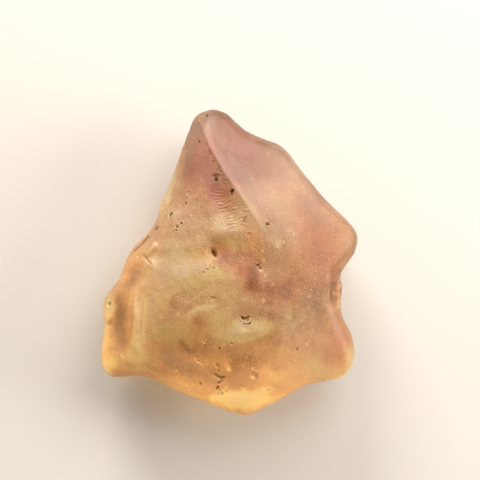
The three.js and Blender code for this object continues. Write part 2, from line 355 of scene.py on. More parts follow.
@dataclass(frozen=True)
class Crease:
    """A sharp ridge (height above zero) or groove (below zero) along a line, as wide as given to each side.

    It fades in and out over the given shares of its length.
    """

    line: PlanLine
    height: float
    left: float
    right: float
    fade_in: float = 0.2
    fade_out: float = 0.2

    def lift(self, points: np.ndarray) -> np.ndarray:
        """Gives the crease's height at each point.

        Args:
            points: Rows of x, y and z.

        Returns:
            Heights in millimetres.
        """
        side, share = self.line.measure(points)
        width = np.where(side > 0, self.left, self.right)
        tent = np.clip(1 - np.abs(side) / width, 0, 1) ** CREASE_HOLLOW
        return self.height * tent * fade_ends(share, self.fade_in, self.fade_out)


# A cut's parts by their distance from its line in half widths, given as a pit's parts are, and the share of
# its length over which it opens and closes. Both its lips are raised, and the one on its right gets a painted
# highlight.
CUT_LIPS = (2.2, 1.0)
CUT_LIT_LIP_HIGHLIGHT = (-2.8, 1.1)
CUT_FLOOR = 1.1
CUT_LINING = 1.3
CUT_END = 0.25


@dataclass(frozen=True)
class Cut:
    """A thin open cut in the skin along a line, with its half width and depth in millimetres.

    The line runs so that the lip that the light falls on is on its right.
    """

    line: PlanLine
    width: float
    depth: float = 0.3
    lined: float = 1.0

    def place(self, points: np.ndarray) -> tuple[np.ndarray, np.ndarray]:
        """Gives the distance from the cut in half widths, above zero on its left, and how open it is."""
        side, share = self.line.measure(points)
        return side / self.width, fade_ends(share, CUT_END, CUT_END)

    def lift(self, points: np.ndarray) -> np.ndarray:
        """Gives how far the cut moves each point outwards: below zero in it, above zero on its lips.

        Args:
            points: Rows of x, y and z.

        Returns:
            Heights in millimetres.
        """
        side, open_share = self.place(points)
        lips = RAISED_SHARE * soft_peak(np.abs(side), *CUT_LIPS)
        return self.depth * open_share * (lips - soft_plateau(side, CUT_FLOOR))

    def lining(self, points: np.ndarray) -> np.ndarray:
        """Gives the share of dark lining at each point."""
        side, open_share = self.place(points)
        return self.lined * open_share * soft_plateau(side, CUT_LINING)

    def lip(self, points: np.ndarray) -> np.ndarray:
        """Gives the painted highlight on the lit lip at each point."""
        side, open_share = self.place(points)
        return open_share * soft_peak(side, *CUT_LIT_LIP_HIGHLIGHT)


# The shares of a streak's length over which it fades in and out.
STREAK_FADES = (0.15, 0.2)


@dataclass(frozen=True)
class Streak:
    """A thin soft line in the skin, with its half width in millimetres and how strongly it counts."""

    line: PlanLine
    width: float
    weight: float

    def share(self, points: np.ndarray) -> np.ndarray:
        """Gives the streak's weight at each point."""
        side, share = self.line.measure(points)
        return self.weight * fade_ends(share, *STREAK_FADES) * soft_peak(side, 0, self.width)


class Mark(Enum):
    """What is marked on the surface for the material to read, by the attribute's name."""

    TONE = "tone"
    FROST = "frost"
    PAINTED_ROSY_LIGHT = "painted_rosy_light"
    AMBER_AND_PAINTED_SHADE = "amber"
    LINING = "lining"


# The values that the noise texture mostly lies between.
NOISE_LOW = 0.25
NOISE_HIGH = 0.75

# The colour inputs and output of a Mix node, whose names its inputs of other types share.
MIX_A = 6
MIX_B = 7
MIX_RESULT = 2


@dataclass(frozen=True)
class Cloudiness:
    """A cloudy pattern in the material: its wave length and how far it goes below and above zero."""

    length_mm: float
    strength: float
    detail: float = 4.0
    roughness: float = 0.6
    distortion: float = 0.5

    def value(self, tree: bpy.types.NodeTree, place: bpy.types.NodeSocket) -> bpy.types.NodeSocket:
        """Adds the pattern to a material.

        Args:
            tree: The material's node tree.
            place: The coordinates that the pattern follows.

        Returns:
            Its value.
        """
        pattern = add_node(
            tree,
            "ShaderNodeTexNoise",
            {"Vector": place},
            {
                "Scale": PER_METRE / self.length_mm,
                "Detail": self.detail,
                "Roughness": self.roughness,
                "Distortion": self.distortion,
            },
        )
        spread = add_node(
            tree,
            "ShaderNodeMapRange",
            {"Value": pattern.outputs["Fac"]},
            {
                "From Min": NOISE_LOW,
                "From Max": NOISE_HIGH,
                "To Min": -self.strength,
                "To Max": self.strength,
            },
        )
        return spread.outputs["Result"]


@dataclass(frozen=True)
class DesertGlass:
    """Natural silica glass with a satin skin.

    The glass is clear honey yellow, so thin edges are pale and thick parts deep. Wind-blown sand has frosted
    its skin finely, which blurs what is seen through it, greys it slightly with a pale veil that is partly a
    painted sheen, and gives soft, broad highlights, and has scuffed it white in places. Cloudy streaks run
    from deep brown to bright yellow. Light and shade are painted into the colour too: a glow in places,
    highlights on ridges and on the lit lips of pits and cuts, glints, shade lines and shaded parts, a rosy
    light as from a pink surface under the glass, and an amber cast that is partly painted shade. The etched
    pits are lined dark, with dust and painted shade.
    """

    name: str = "wind_frosted_silica_glass"
    ior: float = 1.46
    transmission: float = 0.81
    absorption: str = "#fff0a4"
    absorption_per_metre: float = 55.0
    # Dull skin scatters light more than clear skin does.
    roughness_clear: float = 0.3
    roughness_frosted: float = 0.46
    # The colours of the tones: deep at the lowest, plain at 0, bright at 1 and chalk white at the highest,
    # which white wear, painted glints and painted lip highlights reach.
    lowest_tone: float = -1.0
    highest_tone: float = 2.0
    deep: str = "#764a20"
    plain: str = "#d4a06d"
    bright: str = "#fff2b0"
    white_wear_and_highlight: str = "#fff4d8"
    # The pale veil of the frosted skin, partly a painted sheen, which hides at most this share of the glass,
    # the painted rosy light, the amber cast and the pits' dark lining.
    frosted: str = "#dcbeb0"
    veil: float = 0.45
    # The colour of the painted rosy light, the amber colour that is partly painted shade, and the pits'
    # lining of dust and painted shade.
    rosy: str = "#bc7c80"
    amber: str = "#ffc8a0"
    pit_dust_and_shade: str = "#2c170a"
    # Clouds and mottles are as wide as the real ones. The frosting's grain is under 0.05 mm on the real skin,
    # too fine to show, so it is drawn coarser, and so are the white specks that single sand grains left,
    # which also stand in for tiny sparkling glints as painted highlights.
    clouds: Cloudiness = Cloudiness(3.2, 0.32)
    mottles: Cloudiness = Cloudiness(1.1, 0.15)
    grain: Cloudiness = Cloudiness(0.14, 0.55)
    grain_height_mm: float = 0.03
    speck_spacing_mm: float = 1.3
    # From a speck's border to its white middle, in shares of the spacing, and how white it is.
    speck: Span = (0.12, 0.05)
    speck_whiteness: float = 0.9

    def material(self) -> bpy.types.Material:
        """Makes the material.

        Returns:
            A material whose patterns follow Object coordinates and the marks on the piece.
        """
        material = bpy.data.materials.new(self.name)
        material.use_nodes = True
        tree = material.node_tree
        tree.nodes.clear()
        place = add_node(tree, "ShaderNodeTexCoord").outputs["Object"]
        marks = {
            mark: add_node(tree, "ShaderNodeAttribute", attribute_name=mark.value).outputs["Fac"]
            for mark in Mark
        }
        clouds = self.clouds.value(tree, place)
        mottles = self.mottles.value(tree, place)
        grain = self.grain.value(tree, place)
        specks = self.specks(tree, place)
        tone = marks[Mark.TONE]
        for part in (clouds, mottles, grain, specks):
            tone = add_node(tree, "ShaderNodeMath", {0: tone, 1: part}, operation="ADD").outputs[0]
        frost = add_node(
            tree, "ShaderNodeMath", {0: marks[Mark.FROST], 1: mottles}, operation="ADD", use_clamp=True
        ).outputs[0]
        satin = add_node(
            tree,
            "ShaderNodeMapRange",
            {"Value": frost},
            {"To Min": self.roughness_clear, "To Max": self.roughness_frosted},
        )
        roughness = add_node(
            tree,
            "ShaderNodeMath",
            {0: satin.outputs["Result"], 1: marks[Mark.LINING]},
            operation="ADD",
            use_clamp=True,
        )
        bump = add_node(
            tree,
            "ShaderNodeBump",
            {"Height": grain},
            {"Strength": 1.0, "Distance": self.grain_height_mm * MILLIMETRE},
        )
        glass = add_node(
            tree,
            "ShaderNodeBsdfPrincipled",
            {
                "Base Color": self.colour(tree, tone, frost, marks),
                "Roughness": roughness.outputs[0],
                "Normal": bump.outputs["Normal"],
            },
            {"IOR": self.ior, "Transmission Weight": self.transmission},
        )
        inside = add_node(
            tree,
            "ShaderNodeVolumeAbsorption",
            values={"Color": linear_colour(self.absorption), "Density": self.absorption_per_metre},
        )
        add_node(
            tree,
            "ShaderNodeOutputMaterial",
            {"Surface": glass.outputs["BSDF"], "Volume": inside.outputs["Volume"]},
        )
        return material

    def specks(self, tree: bpy.types.NodeTree, place: bpy.types.NodeSocket) -> bpy.types.NodeSocket:
        """Adds the tiny white specks, which are partly painted sparkle.

        Args:
            tree: The material's node tree.
            place: The coordinates that they follow.

        Returns:
            Their whiteness, 0 between them.
        """
        cells = add_node(
            tree, "ShaderNodeTexVoronoi", {"Vector": place}, {"Scale": PER_METRE / self.speck_spacing_mm}
        )
        border, middle = self.speck
        spots = add_node(
            tree,
            "ShaderNodeMapRange",
            {"Value": cells.outputs["Distance"]},
            {"From Min": border, "From Max": middle, "To Max": self.speck_whiteness},
        )
        return spots.outputs["Result"]

    def colour(
        self,
        tree: bpy.types.NodeTree,
        tone: bpy.types.NodeSocket,
        frost: bpy.types.NodeSocket,
        marks: dict[Mark, bpy.types.NodeSocket],
    ) -> bpy.types.NodeSocket:
        """Adds the glass's colour under its veil, casts and dust.

        Args:
            tree: The material's node tree.
            tone: From the lowest tone to the highest.
            frost: From 0, clear, to 1, frosted.
            marks: The marks on the piece.

        Returns:
            The colour.
        """
        tones = self.highest_tone - self.lowest_tone
        place = add_node(
            tree,
            "ShaderNodeMapRange",
            {"Value": tone},
            {"From Min": self.lowest_tone, "From Max": self.highest_tone},
        )
        ramp = add_node(tree, "ShaderNodeValToRGB", {"Fac": place.outputs["Result"]})
        steps = ramp.color_ramp.elements
        steps[0].color = linear_colour(self.deep)
        steps[1].color = linear_colour(self.white_wear_and_highlight)
        steps.new(-self.lowest_tone / tones).color = linear_colour(self.plain)
        steps.new((1 - self.lowest_tone) / tones).color = linear_colour(self.bright)
        veil = add_node(tree, "ShaderNodeMath", {0: frost}, {1: self.veil}, operation="MULTIPLY")
        colour = ramp.outputs["Color"]
        for share, other, blend in (
            (veil.outputs[0], self.frosted, "MIX"),
            (marks[Mark.PAINTED_ROSY_LIGHT], self.rosy, "MIX"),
            (marks[Mark.AMBER_AND_PAINTED_SHADE], self.amber, "MULTIPLY"),
            (marks[Mark.LINING], self.pit_dust_and_shade, "MIX"),
        ):
            mixed = add_node(
                tree,
                "ShaderNodeMix",
                {"Factor": share, MIX_A: colour},
                {MIX_B: linear_colour(other)},
                data_type="RGBA",
                blend_type=blend,
            )
            colour = mixed.outputs[MIX_RESULT]
        return colour


# The crest from the pointed end downwards, and the other lines of the upper side.
CREST = PlanLine(
    (
        (-3.9, 16.1), (-2.8, 14.7), (-2.4, 13.5), (-1.9, 12.2), (-1.15, 10.9), (-0.35, 9.5), (0.7, 7.95),
        (1.5, 6.75), (2.3, 5.4), (3.2, 3.95), (4.0, 2.95), (4.9, 1.9),
    )
)
FOLD = PlanLine(((-9.9, -2.6), (-9.95, -4.2), (-9.9, -5.6), (-10.05, -7.2), (-10.15, -8.4), (-10.0, -9.8)))
SECOND_FOLD = PlanLine(((-8.9, -3.4), (-9.1, -5.6), (-9.2, -7.6), (-8.9, -9.2)))
TIP_BORDER = PlanLine(((-2.6, -14.1), (-1.0, -13.6), (1.4, -13.4), (3.2, -13.35), (4.8, -13.1)))
CREASE_ABOVE = PlanLine(((-7.7, 2.2), (-8.3, 1.35), (-8.9, 0.6)))
CREASE_BELOW = PlanLine(((-9.4, 1.0), (-8.8, 0.4), (-8.1, -0.35)))

# The sharp ridges and grooves. The crest has a broad one and a fine one on it.
CREASES = (
    Crease(CREST, 0.26, 1.1, 0.8, 0.08, 0.65),
    Crease(CREST, 0.07, 0.45, 0.2, 0.08, 0.6),
    Crease(FOLD, 0.2, 0.7, 0.5),
    Crease(SECOND_FOLD, 0.08, 0.5, 0.4),
    Crease(TIP_BORDER, 0.12, 0.6, 0.8),
    Crease(CREASE_ABOVE, 0.3, 0.5, 0.5),
    Crease(CREASE_BELOW, -0.16, 0.22, 0.45),
)

LEFT_EDGE = PlanLine(((-8.17, 3.0), (-8.77, 2.7), (-9.12, 2.3), (-9.57, 1.8), (-10.07, 1.35), (-10.47, 0.9)))
LOWER_EDGE = PlanLine(((-12.6, -12.1), (-11.2, -11.9), (-9.4, -11.9), (-7.6, -12.5), (-5.6, -13.4)))
NOTCH_RIM_HIGHLIGHT = PlanLine(((11.9, -1.4), (11.75, -2.6), (11.8, -3.6), (11.75, -5.2)))
NOTCH_PAINTED_GLINT = PlanLine(((10.6, -1.6), (10.5, -2.6), (10.6, -3.8)))
UPPER_RIGHT_EDGE = PlanLine(((4.6, 12.8), (6.6, 11.0), (8.4, 8.8), (10.6, 6.4), (12.2, 4.8)))
BUMP_EDGE = PlanLine(((12.0, 4.8), (12.9, 3.9), (13.45, 2.9), (13.5, 2.2), (13.2, 1.2), (12.8, 0.4)))
TIP_PAINTED_GLOW = PlanLine(((-2.5, -14.5), (-1.0, -14.3), (0.8, -14.15), (2.4, -14.1), (3.4, -13.7), (4.8, -13.1)))
TIP_EDGE = PlanLine(((-3.4, -14.5), (-0.6, -15.7), (1.6, -16.2), (3.6, -15.6), (6.0, -14.2)))
EGG_LINE = PlanLine(((-2.0, -4.65), (-2.5, -4.65), (-3.3, -4.8), (-4.0, -5.2), (-4.7, -5.7)))
EGG_BACK = PlanLine(((-6.6, -4.2), (-6.2, -3.3), (-5.4, -2.7), (-4.4, -2.75), (-3.7, -3.4)))
LOW_BEND = PlanLine(((-5.2, -7.9), (-4.9, -8.6), (-4.3, -9.3), (-3.6, -9.7)))
TROUGH_LINE = PlanLine(((-3.3, 13.5), (-3.05, 11.5), (-2.95, 9.5), (-2.8, 7.6)))

# Thin lines of painted light and shade: the bright ones (above zero) are mostly painted highlights along
# ridges, folds and rims, with the painted glow along the lower tip, and the deep ones (below zero) are
# mostly painted shade along edges and bends.
PAINTED_LIGHT_AND_SHADE_STREAKS = (
    Streak(CREST, 0.13, 0.2),
    Streak(FOLD, 0.26, 0.5),
    Streak(SECOND_FOLD, 0.3, 0.35),
    Streak(CREASE_ABOVE, 0.22, 0.8),
    Streak(CREASE_BELOW, 0.1, -0.6),
    Streak(LOWER_EDGE, 0.3, -0.5),
    Streak(NOTCH_RIM_HIGHLIGHT, 0.12, 0.8),
    Streak(NOTCH_PAINTED_GLINT, 0.14, 0.5),
    Streak(UPPER_RIGHT_EDGE, 0.3, -0.5),
    Streak(BUMP_EDGE, 0.12, -0.5),
    Streak(TIP_PAINTED_GLOW, 0.42, 1.3),
    Streak(TIP_EDGE, 0.35, -0.4),
    Streak(EGG_LINE, 0.22, 0.7),
    Streak(EGG_BACK, 0.22, 0.5),
    Streak(LOW_BEND, 0.22, -0.6),
    Streak(TROUGH_LINE, 0.16, 0.35),
)

# Thin cuts: the two curved ones below the middle, the wavy one at the lower end, and single ones.
CUTS = (
    Cut(PlanLine(((1.22, -5.6), (1.42, -5.85), (1.7, -5.95), (1.95, -5.82), (2.14, -5.6))), 0.11, 0.35),
    Cut(PlanLine(((1.5, -6.2), (1.68, -6.45), (1.95, -6.5), (2.18, -6.4), (2.32, -6.18))), 0.09),
    Cut(PlanLine(((-2.12, -3.42), (-1.85, -3.6), (-1.6, -3.68), (-1.3, -3.68))), 0.06, lined=0.8),
    Cut(
        PlanLine(((-1.8, -11.8), (-1.4, -11.85), (-1.15, -12.05), (-0.85, -12.2), (-0.35, -12.08))),
        0.09, 0.35, 0.85,
    ),
    Cut(PlanLine(((-1.3, -12.7), (-1.08, -12.72), (-0.85, -12.66))), 0.07, 0.2),
    Cut(PlanLine(((-0.95, -12.5), (-0.75, -12.55), (-0.6, -12.45))), 0.05, 0.1),
    Cut(PlanLine(((1.98, 4.95), (1.76, 4.88), (1.68, 4.65), (1.6, 4.3))), 0.05, 0.2, 0.6),
    Cut(PlanLine(((-1.8, 1.45), (-1.72, 1.15), (-1.62, 0.95), (-1.46, 0.78))), 0.055, 0.25, 0.9),
    Cut(PlanLine(((0.2, 7.35), (0.42, 7.55), (0.6, 7.85))), 0.08),
)

# Thin dark lines of painted shade along the edge of the upper left. They are only marked, not carved.
EDGE_SHADE_LINES = (
    Cut(LEFT_EDGE, 0.075, lined=0.65),
    Cut(PlanLine(((-8.0, 3.5), (-7.8, 3.7), (-7.6, 3.95))), 0.11, lined=0.65),
)

# The etched pits, ring marks and, last, the flake scar in the notch.
PITS = (
    Pit(-1.36, 9.25, 0.5, 0.3, 8, 0.15, lined=0.5),
    Pit(-1.36, 8.86, 0.25, 0.23, 0, 0.35),
    Pit(-1.55, 1.02, 0.5, 0.3, 112, 0.2, lined=0.0),
    Pit(-1.4, 1.08, 0.12, 0.1, 60, 0.15, lined=0.8),
    Pit(-1.25, -13.3, 0.26, 0.12, 62, 0.35),
    Pit(-0.74, -13.92, 0.14, 0.12, 80, 0.2, lined=0.7),
    Pit(-6.2, 5.15, 0.27, 0.17, 45, 0.3),
    Pit(-6.3, 4.8, 0.16, 0.12, 80, 0.1, lined=0.4),
    Pit(-5.55, 3.88, 0.16, 0.1, 80, 0.25),
    Pit(-5.1, 4.2, 0.16, 0.11, 10, 0.2, lined=0.8),
    Pit(-5.62, 3.48, 0.16, 0.1, 110, 0.25),
    Pit(-4.6, 6.35, 0.16, 0.12, 80, 0.25, lined=0.8),
    Pit(-4.3, 7.4, 0.22, 0.2, 0, 0.1, PitForm.RING),
    Pit(-7.0, 6.4, 0.2, 0.18, 0, 0.12, PitForm.RING),
    Pit(-2.75, -0.95, 0.11, 0.09, 0, 0.16, lined=0.8),
    Pit(-2.24, -0.62, 0.12, 0.1, 60, 0.16, lined=0.6),
    Pit(-1.6, -0.58, 0.16, 0.08, 80, 0.14, lined=0.6),
    Pit(-2.8, -0.12, 0.07, 0.06, 0, 0.06, lined=0.5),
    Pit(-2.5, -0.3, 0.08, 0.06, 40, 0.06, lined=0.5),
    Pit(-2.05, -0.25, 0.07, 0.06, 0, 0.06, lined=0.4),
    Pit(3.0, -0.2, 0.17, 0.12, 125, 0.3),
    Pit(3.2, -0.5, 0.14, 0.07, 125, 0.15, lined=0.6),
    Pit(3.3, -0.6, 0.1, 0.08, 125, 0.15, lined=0.7),
    Pit(4.1, 4.1, 0.26, 0.14, 150, 0.3),
    Pit(2.1, 3.08, 0.12, 0.1, 70, 0.12, lined=0.6),
    Pit(2.05, 3.0, 0.26, 0.22, 0, 0.05, PitForm.RING),
    Pit(-2.32, 15.75, 0.17, 0.12, 90, 0.2, lined=0.9),
    Pit(-3.1, 15.25, 0.2, 0.18, 0, 0.1, PitForm.RING),
    Pit(-3.2, 12.9, 0.13, 0.12, 70, 0.2),
    Pit(-12.85, -4.45, 0.24, 0.16, 60, 0.25, lined=0.7),
    Pit(-12.8, -6.4, 0.4, 0.24, 60, 0.12, lined=0.4),
    Pit(-2.5, -8.3, 0.26, 0.2, 0, 0.14, PitForm.RING),
    Pit(-2.5, -8.45, 0.14, 0.1, 0, 0.2, lined=0.7),
    Pit(-1.02, -9.0, 0.2, 0.1, 85, 0.22),
    Pit(0.28, -8.5, 0.16, 0.12, 130, 0.22, lined=0.9),
    Pit(-3.2, -10.35, 0.5, 0.2, 140, 0.12, PitForm.RING),
    Pit(-1.3, -10.85, 0.22, 0.2, 0, 0.12, PitForm.RING),
    Pit(-1.28, -10.85, 0.12, 0.1, 0, 0.2, lined=0.7),
    Pit(2.65, -11.9, 0.32, 0.26, 0, 0.16, PitForm.RING),
    Pit(2.72, -11.95, 0.18, 0.1, 0, 0.15, lined=0.5),
    Pit(-3.05, -12.8, 0.2, 0.1, 110, 0.2, lined=0.6),
    Pit(4.25, -13.5, 0.16, 0.1, 0, 0.2, lined=0.5),
    Pit(7.2, -9.15, 0.2, 0.1, 80, 0.22, lined=0.8),
    Pit(-1.98, 11.7, 0.2, 0.12, 120, 0.2, lined=0.4),
    Pit(-1.6, 10.85, 0.24, 0.1, 20, 0.2, lined=0.3),
    Pit(-0.85, 9.75, 0.3, 0.1, 170, 0.2, lined=0.5),
    Pit(-0.6, 9.2, 0.26, 0.09, 150, 0.2, lined=0.3),
    Pit(-0.5, 8.8, 0.26, 0.1, 170, 0.2, lined=0.4),
    Pit(0.4, 7.7, 0.12, 0.24, 20, 0.2, lined=0.5),
    Pit(0.3, 7.3, 0.2, 0.1, 50, 0.2, lined=0.5),
    Pit(11.35, -2.9, 1.5, 0.55, 84, 0.25, PitForm.CHIP),
)

# Shallow worn swells (above zero) and hollows (below zero), with their height in millimetres as the weight.
SWELLS = (
    Patch(2.3, -6.3, 2.8, 1.5, 8, -0.2),
    Patch(-4.2, 0.4, 3.6, 1.6, 8, -0.13),
    Patch(-2.2, -4.2, 2.0, 1.0, 10, -0.08),
    Patch(2.1, -0.4, 2.4, 1.8, 100, 0.14),
    Patch(5.2, -1.9, 2.2, 1.6, 170, 0.08),
)

# Where the skin is clearer (below zero) or more frosted (above zero) than elsewhere. The frost's pale veil is
# partly a painted sheen, and in places, such as the break below the crest and the lower band, it brightens
# the colour as painted light.
FROST = (
    Patch(5.5, 8.0, 9.5, 6.0, 128, 0.75),
    Patch(2.0, 12.2, 6.5, 4.2, 135, -0.8),
    Patch(-1.6, 15.6, 3.0, 2.0, 0, -0.4),
    Patch(8.5, -8.5, 6.0, 5.0, 0, 0.5),
    Patch(-1.2, 9.0, 5.0, 2.4, 112, 0.7),
    Patch(1.6, 5.4, 4.0, 1.6, 122, 0.4),
    Patch(-8.4, -1.8, 5.5, 2.6, 75, 0.3),
    Patch(1.8, 5.0, 3.6, 1.3, 118, 0.6),
    Patch(-5.8, 9.5, 8.0, 1.6, 70, -0.4),
    Patch(-13.3, -8.0, 5.5, 1.6, 90, -0.5),
    Patch(1.0, -12.9, 9.0, 1.8, 3, 0.4),
    Patch(9.0, -12.0, 5.0, 1.6, 10, 0.4),
    Patch(-6.4, 0.0, 4.5, 3.2, 40, 0.35),
    Patch(13.0, -10.5, 3.0, 1.4, 100, -0.4),
    Patch(0.8, -14.7, 4.2, 1.4, 4, -0.7),
    Patch(-0.6, -11.0, 5.0, 1.6, 10, -0.2),
    Patch(2.2, -7.2, 3.6, 2.0, 8, -0.9),
    Patch(-3.8, -0.7, 5.0, 2.4, 5, -0.6),
    Patch(2.6, -1.6, 2.8, 1.8, 100, -0.4),
    Patch(0.9, 13.2, 4.2, 2.8, 130, -0.5),
)

